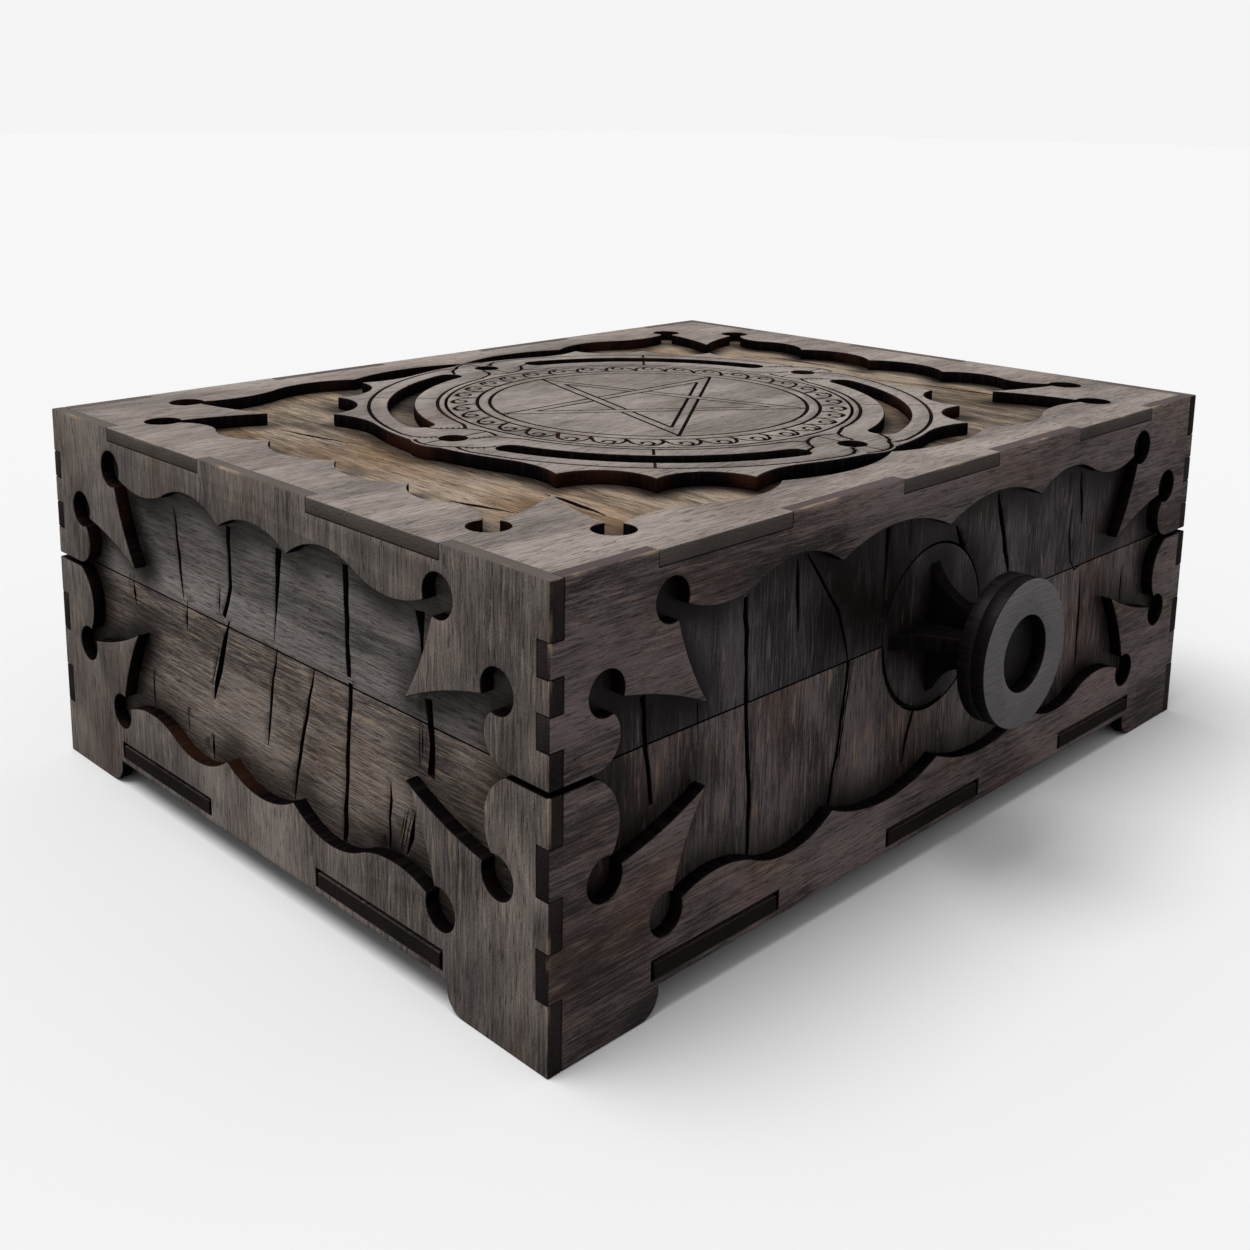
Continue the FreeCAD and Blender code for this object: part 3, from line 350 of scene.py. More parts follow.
class Layer(Enum):
    """The layers of the wood's pattern."""

    CLOUD = Noise(1.9, 24, 44, 3, 0.33, 0.67)
    FIGURE = Noise(0.0, 9, 120, 3, 0.36, 0.64)
    FIBRE = Noise(3.1, 110, 1900, 2, 0.32, 0.68)
    GRIT = Noise(7.7, 1700, 2900, 1, 0.25, 0.75)
    PORES = Noise(5.3, 250, 2900, 1, 0.57, 0.7)
    WARMTH = Noise(8.8, 18, 38, 3, 0.48, 0.68)
    RAYS = Noise(12.3, 95, 1100, 2, 0.56, 0.69)
    # Drifts in the smoke and painted shade
    DRIFT = Noise(6.1, 30, 30, 2, 0.35, 0.65)
    BARS = Noise(4.2, 30, 900, 1, 0.45, 0.7)
    EMBERS = Noise(9.4, 38, 38, 3, 0.52, 0.7)
    # Patches of wear and painted highlight on the rubbed arrises
    RUB = Noise(2.6, 60, 60, 3, 0.5, 0.68)


@dataclass
class WoodShader:
    """The nodes of one sheet's wood."""

    finish: StainedPly
    sheet: Sheet
    seed: float
    graph: ShaderGraph

    # How a sheet's seed shifts its pattern along the three axes, and how ragged and wavy the pattern is
    SHIFTS = (1.0, 1.7, 0.6)
    RAGGED, WAVY = 0.6, 0.35
    # Depths under a face, in millimetres, between which the wood goes from stained to charred
    SKIN, CHARRED = 0.02, 0.1
    # The mark at which the smoke and painted shade are full, and how dark they then are, evenly and in drifts
    SMOKE_FULL = 0.9
    SMOKE_EVEN, SMOKE_DRIFT = 0.62, 0.35
    # How much of the bars on a cut is ash
    ASH = 0.08
    # Shares of cloud with figure, of fibre and of grit in the tone, and the range that contrast widens
    BROAD_TONE, FIBRE_TONE, GRIT_TONE = 0.56, 0.3, 0.14
    HARD_TONE = (0.3, 0.7)
    # Sanded ends: how deep they reach, how much of the char is gone, and what makes their grain pale, of
    # which the share on the top is painted light
    SANDED_INSET = 0.2 * MM
    SANDED = 0.85
    END_CLOUD, END_GRIT, END_TOP = 0.1, 0.05, 0.4
    # Rubbed arrises, worn and with a painted highlight: how deep they reach and how pale and bare they are
    RUBBED_INSET = 0.7 * MM
    RUBBED = 0.5
    # The share of either inset at which it is full
    INSET_FULL = 0.4
    # Relief: the parts of fibre, grit and pores, its strength and its height
    FIBRE_RISE, GRIT_RISE, PORE_SINK = 0.6, 0.3, 0.7
    RELIEF = 0.45
    RELIEF_HEIGHT = 0.4 * MM
    # Roughness that dark wood and char add, that pale wood lacks, and that the coat has
    DARK_DULL, CHAR_DULL, PALE_GLOSS = 0.16, 0.06, 0.08
    COAT_DULL = 0.42

    def place(self) -> bpy.types.NodeSocket:
        """Returns the place in the shared frame."""
        return self.graph.node("ShaderNodeTexCoord").outputs["Object"]

    def along(self, axis: Axis) -> Signal:
        """Returns the place along one axis."""
        parts = self.graph.node("ShaderNodeSeparateXYZ", None, {0: self.place()})
        return Signal(self.graph, parts.outputs[axis.value])

    def layer(self, layer: Layer, grain: Axis | None = None) -> Signal:
        """Adds one layer of the pattern.

        Args:
            layer: Which one.
            grain: Another axis than the sheet's own grain.

        Returns:
            The layer, from 0 to 1.
        """
        noise = layer.value
        scale = [noise.across, noise.across, noise.across]
        scale[(grain or self.sheet.grain).value] = noise.along
        start = tuple((self.seed + noise.shift) * share for share in self.SHIFTS)
        mapping = self.graph.node("ShaderNodeMapping", None, {
            "Vector": self.place(), "Location": start, "Scale": tuple(scale)})
        streaks = self.graph.value("ShaderNodeTexNoise", {"noise_dimensions": "3D"}, {
            "Vector": mapping.outputs[0], "Scale": 1.0, "Detail": noise.detail,
            "Roughness": self.RAGGED, "Distortion": self.WAVY})
        return streaks.step(noise.low, noise.high)

    def planes(self, inset: float) -> tuple[Signal, Signal, Signal]:
        """Finds what lies in the carcass's outer planes.

        Args:
            inset: How far in from a plane still counts.

        Returns:
            Masks of the sides, of front and back, and of the top.
        """
        sides, ends, top = (
            reach.step(plane - inset, plane - inset * self.INSET_FULL) for reach, plane in (
                (abs(self.along(Axis.X)), BOX.half_width),
                (abs(self.along(Axis.Y) - BOX.middle), BOX.half_depth),
                (self.along(Axis.Z), BOX.height)))
        return sides, ends, top

    def cut(self) -> Signal:
        """Finds all that the laser cut.

        Returns:
            A mask of edges and engraving, but not of the faces.
        """
        side = 1.0 if self.sheet.face > self.sheet.back else -1.0
        depth = (self.sheet.face - self.along(self.sheet.through)) * (side / MM)
        below = depth.step(self.SKIN, self.CHARRED)
        if not self.finish.plain_back:
            return below
        thickness = abs(self.sheet.face - self.sheet.back) / MM
        return below * (1.0 - depth.step(thickness - self.CHARRED, thickness - self.SKIN))

    def stained(self, tone: Signal, pores: Signal) -> bpy.types.NodeSocket:
        """Colours the faces, darkened with smoke and painted shade near the sheets on top and in the dark
        spots.

        Args:
            tone: How pale the figure is.
            pores: Where the dark pores lie.

        Returns:
            The colour.
        """
        graph, finish = self.graph, self.finish
        wood = graph.blend(tone, finish.dark, finish.pale)
        wood = graph.blend(self.layer(Layer.WARMTH) * finish.warmth, wood, finish.warm)
        wood = graph.blend(self.layer(Layer.RAYS) * finish.flecks, wood, finish.fleck)
        wood = graph.blend(pores * finish.pores, wood, finish.pore)
        # Smoke and painted shade: darker near the sheets on top and in the dark spots
        near = graph.value("ShaderNodeAttribute", {"attribute_name": "smoke"}, {}, "Fac")
        dark = self.layer(Layer.DRIFT) * self.SMOKE_DRIFT + self.SMOKE_EVEN
        return graph.blend(near.step(0.0, self.SMOKE_FULL) * dark, wood, finish.smoke)

    def charred(self) -> bpy.types.NodeSocket:
        """Colours the cuts.

        Returns:
            The colour, with bars across the edge and patches of brown.
        """
        bars = self.layer(Layer.BARS, self.sheet.through)
        embers = self.layer(Layer.EMBERS) * self.finish.glow
        burnt = self.graph.blend(embers, self.finish.char, self.finish.ember)
        return self.graph.blend(bars * self.ASH, burnt, self.finish.ash)

    def build(self, sanded: bool) -> bpy.types.Material:
        """Joins faces and cuts.

        Args:
            sanded: Whether the ends in the carcass's outer planes are sanded and stained.

        Returns:
            The material.
        """
        graph, finish = self.graph, self.finish
        cloud, figure, fibre, grit, pores = (self.layer(layer) for layer in (
            Layer.CLOUD, Layer.FIGURE, Layer.FIBRE, Layer.GRIT, Layer.PORES))
        tone = cloud * (self.BROAD_TONE - finish.figure) + figure * finish.figure
        tone = tone + fibre * self.FIBRE_TONE + grit * self.GRIT_TONE
        tone = tone * (1.0 - finish.contrast) + tone.step(*self.HARD_TONE) * finish.contrast

        scorch = self.cut()
        burnt = self.charred()
        if sanded:
            sides, ends, top = self.planes(self.SANDED_INSET)
            # End grain on the top is painted paler, as painted light
            share = cloud * self.END_CLOUD + grit * self.END_GRIT + top * self.END_TOP + finish.ends
            end_grain = graph.blend(share, finish.pore, finish.pale)
            burnt = graph.blend((sides | ends | top) * self.SANDED, burnt, end_grain)
        colour = graph.blend(scorch, self.stained(tone, pores), burnt)
        if sanded:
            # Wear with a painted highlight on the rubbed arrises
            sides, ends, top = self.planes(self.RUBBED_INSET)
            rubbed_and_highlit_arrises = sides * top | ends * top | sides * ends
            colour = graph.blend(rubbed_and_highlit_arrises * self.layer(Layer.RUB) * self.RUBBED, colour, finish.worn)

        relief = fibre * self.FIBRE_RISE + grit * self.GRIT_RISE - pores * self.PORE_SINK
        bump = graph.node("ShaderNodeBump", None, {
            "Strength": self.RELIEF, "Distance": self.RELIEF_HEIGHT, "Height": relief})
        dull = (1.0 - tone) * self.DARK_DULL + scorch * self.CHAR_DULL
        shell = graph.node("ShaderNodeBsdfPrincipled", None, {
            "Base Color": colour,
            "Roughness": dull + (finish.roughness - self.PALE_GLOSS),
            "Normal": bump.outputs[0],
            "Specular IOR Level": 0.0,
            "Coat Weight": scorch * (finish.burnt_sheen - finish.sheen) + finish.sheen,
            "Coat Roughness": self.COAT_DULL,
        })
        graph.node("ShaderNodeOutputMaterial", None, {"Surface": shell.outputs[0]})
        return graph.owner


class Finish(Enum):
    """The finishes of the box. The top frame is painted lighter, and the front's frames and planks darker and
    cooler than the sides', as painted light and shade. The stem and the knob's back disc are painted near
    black, as painted shade.
    """

    # Painted light: the top frame is painted lighter than the walls' frames
    TOP_FRAME = StainedPly(paint(184, 172, 163), paint(80, 73, 70), flecks=0.25, warmth=0.1, glow=0.3,
                           ends=0.18)
    SIDE_FRAME = StainedPly(paint(156, 145, 138), paint(46, 43, 43), flecks=0.34)
    # Painted shade: the front's frames are painted darker than the sides'
    FRONT_FRAME = StainedPly(paint(138, 124, 123), paint(28, 25, 28), fleck=paint(158, 134, 116), flecks=0.42,
                             warmth=0.28, glow=0.08, contrast=0.3)
    SIDE_LID_PLANK = StainedPly(paint(172, 164, 160), paint(58, 56, 57), figure=0.28, flecks=0.25,
                                warmth=0.1, glow=0.1)
    SIDE_BASE_PLANK = StainedPly(paint(166, 152, 142), paint(46, 42, 42), fleck=paint(190, 166, 138),
                                 warm=paint(134, 106, 80), figure=0.28, flecks=0.5, warmth=0.35, glow=0.1,
                                 contrast=0.3)
    # Painted shade: the front's planks are painted darker and cooler than the sides'
    FRONT_LID_PLANK = StainedPly(paint(112, 104, 108), paint(16, 14, 17), fleck=paint(152, 134, 124),
                                 warm=paint(92, 66, 60), figure=0.22, flecks=0.55, warmth=0.35, glow=0.05,
                                 contrast=0.4)
    # Painted shade, as for the lid's front plank
    FRONT_BASE_PLANK = StainedPly(paint(138, 126, 125), paint(22, 19, 21), fleck=paint(172, 144, 124),
                                  warm=paint(104, 78, 64), figure=0.22, flecks=0.6, warmth=0.4, glow=0.05,
                                  contrast=0.4)
    DECK = StainedPly(paint(184, 165, 145), paint(52, 45, 42), fleck=paint(204, 172, 128),
                      warm=paint(156, 116, 72), figure=0.3, flecks=0.4, warmth=0.3, glow=0.3, contrast=0.35)
    DIAL = StainedPly(paint(180, 169, 162), paint(98, 91, 88), flecks=0.2, warmth=0.1, glow=0.3)
    KNOB = StainedPly(paint(134, 131, 131), paint(116, 113, 113), flecks=0.0, pores=0.15, warmth=0.0,
                      glow=0.0, burnt_sheen=0.12, plain_back=False)
    # Painted shade: the knob's back disc, seen in the ring's hole, is painted near black
    KNOB_BACK = StainedPly(paint(40, 36, 38), paint(16, 14, 16), flecks=0.0, warmth=0.0, glow=0.0,
                           burnt_sheen=0.12, plain_back=False)
    # Painted shade: the stem is painted near black
    STEM = StainedPly(paint(22, 18, 19), paint(9, 7, 8), flecks=0.0, warmth=0.0, glow=0.0)
    TAB = StainedPly(paint(96, 86, 83), paint(36, 31, 32), flecks=0.1)
    DOWEL = StainedPly(paint(176, 142, 98), paint(140, 106, 70), char=paint(150, 116, 78), flecks=0.1)
    BARE = StainedPly(paint(190, 160, 118), paint(150, 120, 82), pore=paint(110, 82, 54))


class Tool:
    """Small helpers around Blender's operators."""

    # Keeps the planes of a grid off the sheet's own corners
    NUDGE = 0.013 * MM

    @staticmethod
    def only(piece: bpy.types.Object) -> None:
        """Selects one object and nothing else.

        Args:
            piece: The object.
        """
        bpy.ops.object.select_all(action="DESELECT")
        piece.select_set(True)
        bpy.context.view_layer.objects.active = piece

    @staticmethod
    def edit(piece: bpy.types.Object, *actions: Callable[[], Any]) -> None:
        """Runs operators in edit mode, each on the whole mesh.

        Args:
            piece: The mesh's object.
            actions: The operators, with their settings.
        """
        Tool.only(piece)
        bpy.ops.object.mode_set(mode="EDIT")
        for action in actions:
            bpy.ops.mesh.select_all(action="SELECT")
            action()
        bpy.ops.object.mode_set(mode="OBJECT")

    @staticmethod
    def apply(piece: bpy.types.Object, kind: str, **settings: Any) -> None:
        """Adds a modifier and applies it.

        Args:
            piece: The object.
            kind: The modifier's type.
            settings: Its properties.
        """
        Tool.only(piece)
        modifier = piece.modifiers.new(kind.lower(), kind)
        for key, value in settings.items():
            setattr(modifier, key, value)
        bpy.ops.object.modifier_apply(modifier=modifier.name)

    @staticmethod
    def grid(piece: bpy.types.Object, sheet: Sheet, pitch: float) -> None:
        """Divides a sheet by planes across it, so that its faces can carry a fine attribute.

        Args:
            piece: The sheet's object.
            sheet: How it lies.
            pitch: The distance from plane to plane.
        """
        corners = [Vector(corner) for corner in piece.bound_box]
        cuts = []
        for axis in Axis:
            if axis is sheet.through:
                continue
            low = min(corner[axis.value] for corner in corners)
            high = max(corner[axis.value] for corner in corners)
            normal = tuple(float(axis is other) for other in Axis)
            for index in range(1, round((high - low) / pitch)):
                spot = tuple(value * (low + index * pitch + Tool.NUDGE) for value in normal)
                cuts.append(partial(bpy.ops.mesh.bisect, plane_co=spot, plane_no=normal))
        Tool.edit(piece, *cuts)


@dataclass(frozen=True)
class Stroke:
    """One cut line on a sheet's face, in metres along the two axes of the face."""

    points: Run
    width: float
    radii: tuple[float, ...] = ()
    closed: bool = False
    deep: float = 1.0

    # Points of a cutter that are nearer than the weld are one, and its round is divided this finely
    WELD = 1e-7
    ROUND_STEPS = 1

    def cutter(self, sheet: Sheet) -> bpy.types.Object:
        """Makes the round burr that cuts this line.

        Args:
            sheet: The sheet that it is cut into.

        Returns:
            A closed mesh.
        """
        curve = bpy.data.curves.new("burr", "CURVE")
        curve.dimensions = "3D"
        curve.bevel_depth = self.width / 2
        curve.bevel_resolution = self.ROUND_STEPS
        curve.use_fill_caps = True
        spline = curve.splines.new("POLY")
        spline.points.add(len(self.points) - 1)
        spline.use_cyclic_u = self.closed
        for index, knot in enumerate(spline.points):
            knot.co = (*sheet.at(*self.points[index]), 1.0)
            knot.radius = self.radii[index] if self.radii else 1.0
        burr = bpy.data.objects.new("burr", curve)
        bpy.context.scene.collection.objects.link(burr)
        Tool.only(burr)
        bpy.ops.object.convert(target="MESH")
        burr = bpy.context.view_layer.objects.active
        stretch = tuple(self.deep if axis is sheet.through else 1.0 for axis in Axis)
        Tool.edit(burr,
                  partial(bpy.ops.mesh.remove_doubles, threshold=self.WELD),
                  partial(bpy.ops.transform.resize, value=stretch, center_override=sheet.at(0, 0)),
                  partial(bpy.ops.mesh.normals_make_consistent, inside=False))
        return burr


def arc(centre: Point, radius: float, start: float, stop: float, count: int) -> Run:
    """Returns points along an arc, from one angle to another in degrees."""
    angles = [math.radians(start + (stop - start) * index / count) for index in range(count + 1)]
    return tuple((centre[0] + radius * math.cos(angle), centre[1] + radius * math.sin(angle))
                 for angle in angles)


@dataclass(frozen=True)
class Split:
    """A crack in a plank: its run in millimetres, its width, its form and the loose fibres beside it."""

    run: Run
    width: float = 1.0
    taper: Taper = Taper.ENDS
    fibres: int = 0
    opening: float = 1.35 * MM

    # The broken line: how far it strays, how long its pieces are, how its width varies and how deep it is
    STRAY = 0.25 * MM
    PITCH = 3.5 * MM
    RAGGED = (0.75, 1.15)
    DEEP = 1.8
    # Fibres: their width, then in millimetres the first one's place for a crack of full width, their pitch
    # and their stray, then the shares of the crack between which they start and stop
    FIBRE_WIDTH = 0.5 * MM
    FIBRE_PLACE, FIBRE_PITCH, FIBRE_STRAY = 0.7, 0.8, 0.5
    FIBRE_STARTS = (0, 0.4)
    FIBRE_STOPS = (0.6, 1.0)

    def strokes(self, rng: random.Random, run: Sequence[Point]) -> list[Stroke]:
        """Draws the crack and its fibres as cut lines.

        Args:
            rng: The source of its small breaks.
            run: Its points on the sheet, in metres.

        Returns:
            The lines.
        """
        made = [self.line(rng, run, self.width * self.opening, self.taper)]
        for index in range(self.fibres):
            place = self.width * self.FIBRE_PLACE + self.FIBRE_PITCH * index
            aside = (place + rng.uniform(0, self.FIBRE_STRAY)) * MM
            start, stop = sorted((rng.uniform(*self.FIBRE_STARTS), rng.uniform(*self.FIBRE_STOPS)))
            (low_a, low_b), (high_a, high_b) = run[0], run[-1]
            ends = [(low_a + (high_a - low_a) * share + aside, low_b + (high_b - low_b) * share)
                    for share in (start, stop)]
            made.append(self.line(rng, ends, self.FIBRE_WIDTH, Taper.ENDS))
        return made

    def line(self, rng: random.Random, run: Sequence[Point], width: float, taper: Taper) -> Stroke:
        """Draws one broken line.

        Args:
            rng: The source of its breaks.
            run: The points that it passes through.
            width: Its full width.
            taper: How its width changes.

        Returns:
            The line.
        """
        points = [run[0]]
        for start, stop in zip(run, run[1:]):
            length = math.hypot(stop[0] - start[0], stop[1] - start[1])
            count = max(1, round(length / self.PITCH))
            normal = ((start[1] - stop[1]) / length, (stop[0] - start[0]) / length)
            for index in range(1, count + 1):
                share = index / count
                drift = rng.uniform(-self.STRAY, self.STRAY) if index < count else 0.0
                points.append((start[0] + (stop[0] - start[0]) * share + normal[0] * drift,
                               start[1] + (stop[1] - start[1]) * share + normal[1] * drift))
        last = len(points) - 1
        radii = tuple(taper.at(index / last) * rng.uniform(*self.RAGGED) for index in range(last + 1))
        return Stroke(tuple(points), width, radii, deep=self.DEEP)


@dataclass
class SheetPiece:
    """A sheet of the box that is seen: its CAD node, how it lies and how it is finished."""

    node: str
    body: str
    slot: str
    finish: Finish
    through: Axis
    grain: Axis
    face_high: bool = True
    sanded: bool = False
    edge: float = 0.3 * MM
    strokes: list[Stroke] = field(default_factory=list)
    # Sheets whose nearness darkens this one with smoke and painted shade, how far that reaches, and the pitch
    # of the grid that carries it
    smoked_by: tuple[str, ...] = ()
    smoke_reach: float = 10 * MM
    smoke_pitch: float = 2.4 * MM
    # Dark spots, each as its middle and its reach
    soot: tuple[tuple[Vector, float], ...] = ()
    shift: float | None = None

    # The copy: points nearer than the weld are one, then the angles of flat faces, of edges that are eased
    # and of creases, and the steps of an eased edge
    WELD = 1e-6
    FLAT, EASED, CREASE = math.radians(0.5), math.radians(40), math.radians(35)
    EASE_STEPS = 2
    # Darkness in the middle of a dark spot, where more than 1 makes a core that is evenly dark
    SOOT_CORE = 1.4

    def sheet(self) -> Sheet:
        """Reads from the CAD node how the sheet lies.

        Returns:
            How it lies.
        """
        low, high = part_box(self.node)
        faces = (high[self.through.value], low[self.through.value])
        face, back = faces if self.face_high else faces[::-1]
        return Sheet(self.through, self.grain, face, back)

    def shape(self, nodes: Nodes, material: bpy.types.Material) -> bpy.types.Object:
        """Copies the node, softens its edges and cuts its lines.

        Args:
            nodes: The CAD nodes.
            material: The wood.

        Returns:
            The shaped copy.
        """
        piece = bpy.data.objects.new(f"{self.node}_wood", nodes[self.node].data.copy())
        bpy.context.scene.collection.objects.link(piece)
        piece.data.materials.clear()
        piece.data.materials.append(material)
        Tool.edit(piece,
                  partial(bpy.ops.mesh.remove_doubles, threshold=self.WELD),
                  partial(bpy.ops.mesh.dissolve_limited, angle_limit=self.FLAT))
        Tool.apply(piece, "BEVEL", width=self.edge, segments=self.EASE_STEPS, limit_method="ANGLE",
                   angle_limit=self.EASED, use_clamp_overlap=True)
        sheet = self.sheet()
        for stroke in self.strokes:
            burr = stroke.cutter(sheet)
            Tool.apply(piece, "BOOLEAN", object=burr, operation="DIFFERENCE", solver="MANIFOLD")
            bpy.data.objects.remove(burr)
        if self.smoked_by:
            self.smoke(piece, nodes)
        Tool.only(piece)
        bpy.ops.object.shade_smooth_by_angle(angle=self.CREASE)
        return piece

    def smoke(self, piece: bpy.types.Object, nodes: Nodes) -> None:
        """Marks how near each point is to the sheets that were cut on top of this one, or to a dark spot, for
        the smoke and painted shade.

        Args:
            piece: The shaped copy.
            nodes: The CAD nodes.
        """
        Tool.grid(piece, self.sheet(), self.smoke_pitch)
        meshes = [nodes[name].data for name in self.smoked_by]
        trees = [BVHTree.FromPolygons([vertex.co for vertex in mesh.vertices],
                                      [polygon.vertices for polygon in mesh.polygons]) for mesh in meshes]
        marks = piece.data.attributes.new("smoke", "FLOAT", "POINT")
        for vertex, mark in zip(piece.data.vertices, marks.data):
            found = [tree.find_nearest(vertex.co, self.smoke_reach) for tree in trees]
            gap = min((away for *_, away in found if away is not None), default=self.smoke_reach)
            spots = [self.SOOT_CORE - self.SOOT_CORE * (vertex.co - spot).length / reach
                     for spot, reach in self.soot]
            mark.value = max(1.0 - gap / self.smoke_reach, *spots, 0.0)

    def build(self, nodes: Nodes, seed: float) -> bpy.types.Object:
        """Shapes, finishes and seats the piece.

        Args:
            nodes: The CAD nodes.
            seed: Shifts the wood's pattern.

        Returns:
            The piece.
        """
        shift = seed if self.shift is None else self.shift
        wood = self.finish.value.material(f"{self.node}_stain", self.sheet(), shift, self.sanded)
        piece = self.shape(nodes, wood)
        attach(piece, self.body)
        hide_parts(self.node)
        return piece


@dataclass
class InnerPiece:
    """A plain piece inside the box: the CAD node itself with a finish."""

    node: str
    finish: Finish
    through: Axis
    grain: Axis
    sanded: bool = False

    def build(self, nodes: Nodes, seed: float) -> bpy.types.Object:
        """Gives the CAD node its finish.

        Args:
            nodes: The CAD nodes.
            seed: Shifts the wood's pattern.

        Returns:
            The node's object.
        """
        low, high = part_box(self.node)
        sheet = Sheet(self.through, self.grain, high[self.through.value], low[self.through.value])
        material = self.finish.value.material(f"{self.node}_wood", sheet, seed, self.sanded)
        node = nodes[self.node]
        node.data.materials.clear()
        node.data.materials.append(material)
        return node


@dataclass
class Walls:
    """The fretwork frames and the plank panels of the four sides."""

    seed: int = 41
    panel_edge: float = 0.12 * MM
    # Cracks of a wall that doesn't show: how many it has and how far from its corners they stay
    hidden_cracks: int = 13
    hidden_margin: float = 25 * MM
    # In millimetres: ranges of their stray along the wall, their top's height, their length and their lean,
    # and the lowest end of any
    hidden_strays: Span = (-3, 3)
    hidden_tops: Span = (46, 74)
    hidden_lengths: Span = (10, 48)
    hidden_leans: Span = (-4, 4)
    hidden_lowest: float = 20
    # The share of the lean at half height, the range of their widths and the counts of fibres beside them
    hidden_bow: float = 0.3
    hidden_widths: Span = (0.7, 1.6)
    hidden_fibres: tuple[int, ...] = (0, 0, 2)
    # Cracks that show, as read on the face of the frames: millimetres from a wall's left end, and up
    front_cracks: tuple[Split, ...] = (
        Split(((46, 71), (47, 50), (48.5, 35), (48.5, 20)), 1.0, Taper.EVEN),
        Split(((60, 75), (61, 61)), 1.0),
        Split(((63, 75), (68, 68.5), (73, 62), (76, 54), (77, 50)), 0.8),
        Split(((77, 51), (75, 36), (72, 22)), 0.9, Taper.EVEN, 2),
        Split(((88, 75), (87.5, 57)), 1.5, Taper.FALL),
        Split(((95, 75), (95, 70)), 0.7),
        Split(((112, 71), (116, 63), (122, 54)), 1.3),
        Split(((127.5, 75), (131, 65), (134, 55)), 1.6),
        Split(((101, 40), (100, 35), (98, 30), (97, 24)), 1.0),
        Split(((111, 26), (111, 21)), 0.8),
        Split(((158, 74), (158, 70)), 0.8),
        Split(((163, 74), (165, 61)), 1.1),
        Split(((160, 66), (159.5, 60), (161, 53), (163, 50.5), (166, 51)), 0.7),
        Split(((166, 50), (167, 40), (167, 25)), 0.9),
        Split(((20.5, 60), (21.5, 50), (23, 40)), 1.1, Taper.EVEN),
        Split(((34, 55), (34.5, 47)), 0.9),
        Split(((187, 46), (187, 36)), 0.8),
    )
    left_cracks: tuple[Split, ...] = (
        Split(((55.5, 72), (57, 62), (58, 52.5)), 1.2),
        Split(((59.5, 52.5), (59, 46)), 0.9),
        Split(((73, 59), (72.5, 53)), 0.7),
        Split(((77, 72.5), (77, 60), (74, 53)), 1.4, Taper.EVEN),
        Split(((76, 52.5), (73, 45), (69, 34)), 2.0, Taper.ENDS, 1),
        Split(((95, 72), (92.5, 53)), 1.9, Taper.FALL),
        Split(((93.5, 52), (91, 42), (89, 30.5)), 0.9),
        Split(((106, 51.5), (101, 35), (98, 22.5)), 0.9),
        Split(((116.5, 74), (117, 53)), 1.4, Taper.EVEN),
        Split(((117.5, 52), (115.5, 30), (114.5, 20)), 1.3, Taper.EVEN),
        Split(((129, 37), (128.5, 23.5)), 0.8),
        Split(((127, 26), (127.5, 23.5)), 0.7),
        Split(((136, 34), (135, 29), (133.5, 25)), 1.0, Taper.ENDS, 3),
        Split(((43.5, 33), (43.5, 24)), 0.7),
        Split(((58, 28.5), (58, 23.5)), 1.2),
        Split(((68, 26), (68, 20.5)), 1.2, Taper.ENDS, 2),
        Split(((138, 71), (138.5, 62.5)), 2.4, Taper.FALL),
        Split(((140, 56), (141, 48), (140.5, 42)), 1.6, Taper.EVEN, 3),
        Split(((36, 52), (37, 46)), 1.0, Taper.ENDS, 2),
    )

    def onto_planks(self, side: Side, run: Sequence[Point]) -> list[Point]:
        """Moves a run that was read on the frames' face along the line of sight onto the planks.

        Args:
            side: The wall, front or left.
            run: Millimetres along the wall from its left end as seen, and up.

        Returns:
            The run in metres of the shared frame, along the wall and up.
        """
        if side is Side.FRONT:
            run = [(a * MM - BOX.half_width, b * MM) for a, b in run]
            eye, gap = (EYE.x, EYE.z), BOX.middle - BOX.half_depth - EYE.y
        else:
            run = [(BOX.middle + BOX.half_depth - a * MM, b * MM) for a, b in run]
            eye, gap = (EYE.y, EYE.z), -BOX.half_width - EYE.x
        stretch = (gap + BOX.ply) / gap
        return [tuple(here + (value - here) * stretch for here, value in zip(eye, point)) for point in run]

    def cracks(self, side: Side, rng: random.Random) -> list[tuple[Split, list[Point]]]:
        """Lists one wall's cracks with their runs in metres.

        Args:
            side: The wall.
            rng: The source of the hidden walls' cracks.

        Returns:
            The cracks.
        """
        if side in (Side.FRONT, Side.LEFT):
            known = self.front_cracks if side is Side.FRONT else self.left_cracks
            return [(split, self.onto_planks(side, split.run)) for split in known]
        half, centre = (BOX.half_width, 0.0) if side is Side.BACK else (BOX.half_depth, BOX.middle)
        made = []
        for index in range(self.hidden_cracks):
            across = centre + (index / (self.hidden_cracks - 1) - 0.5) * 2 * (half - self.hidden_margin)
            across += rng.uniform(*self.hidden_strays) * MM
            high = rng.uniform(*self.hidden_tops) * MM
            low = max(self.hidden_lowest * MM, high - rng.uniform(*self.hidden_lengths) * MM)
            lean = rng.uniform(*self.hidden_leans) * MM
            split = Split((), rng.uniform(*self.hidden_widths), rng.choice(tuple(Taper)),
                          rng.choice(self.hidden_fibres))
            made.append((split, [(across, high), (across + lean * self.hidden_bow, (high + low) / 2),
                                 (across + lean, low)]))
        return made

    def pieces(self) -> list[SheetPiece]:
        """Lists the sheets of all four walls.

        Returns:
            The frames and the panels.
        """
        rng = random.Random(self.seed)
        made = []
        for side in Side:
            is_long = side in (Side.FRONT, Side.BACK)
            through, length = (Axis.Y, Axis.X) if is_long else (Axis.X, Axis.Y)
            face_high = side in (Side.RIGHT, Side.BACK)
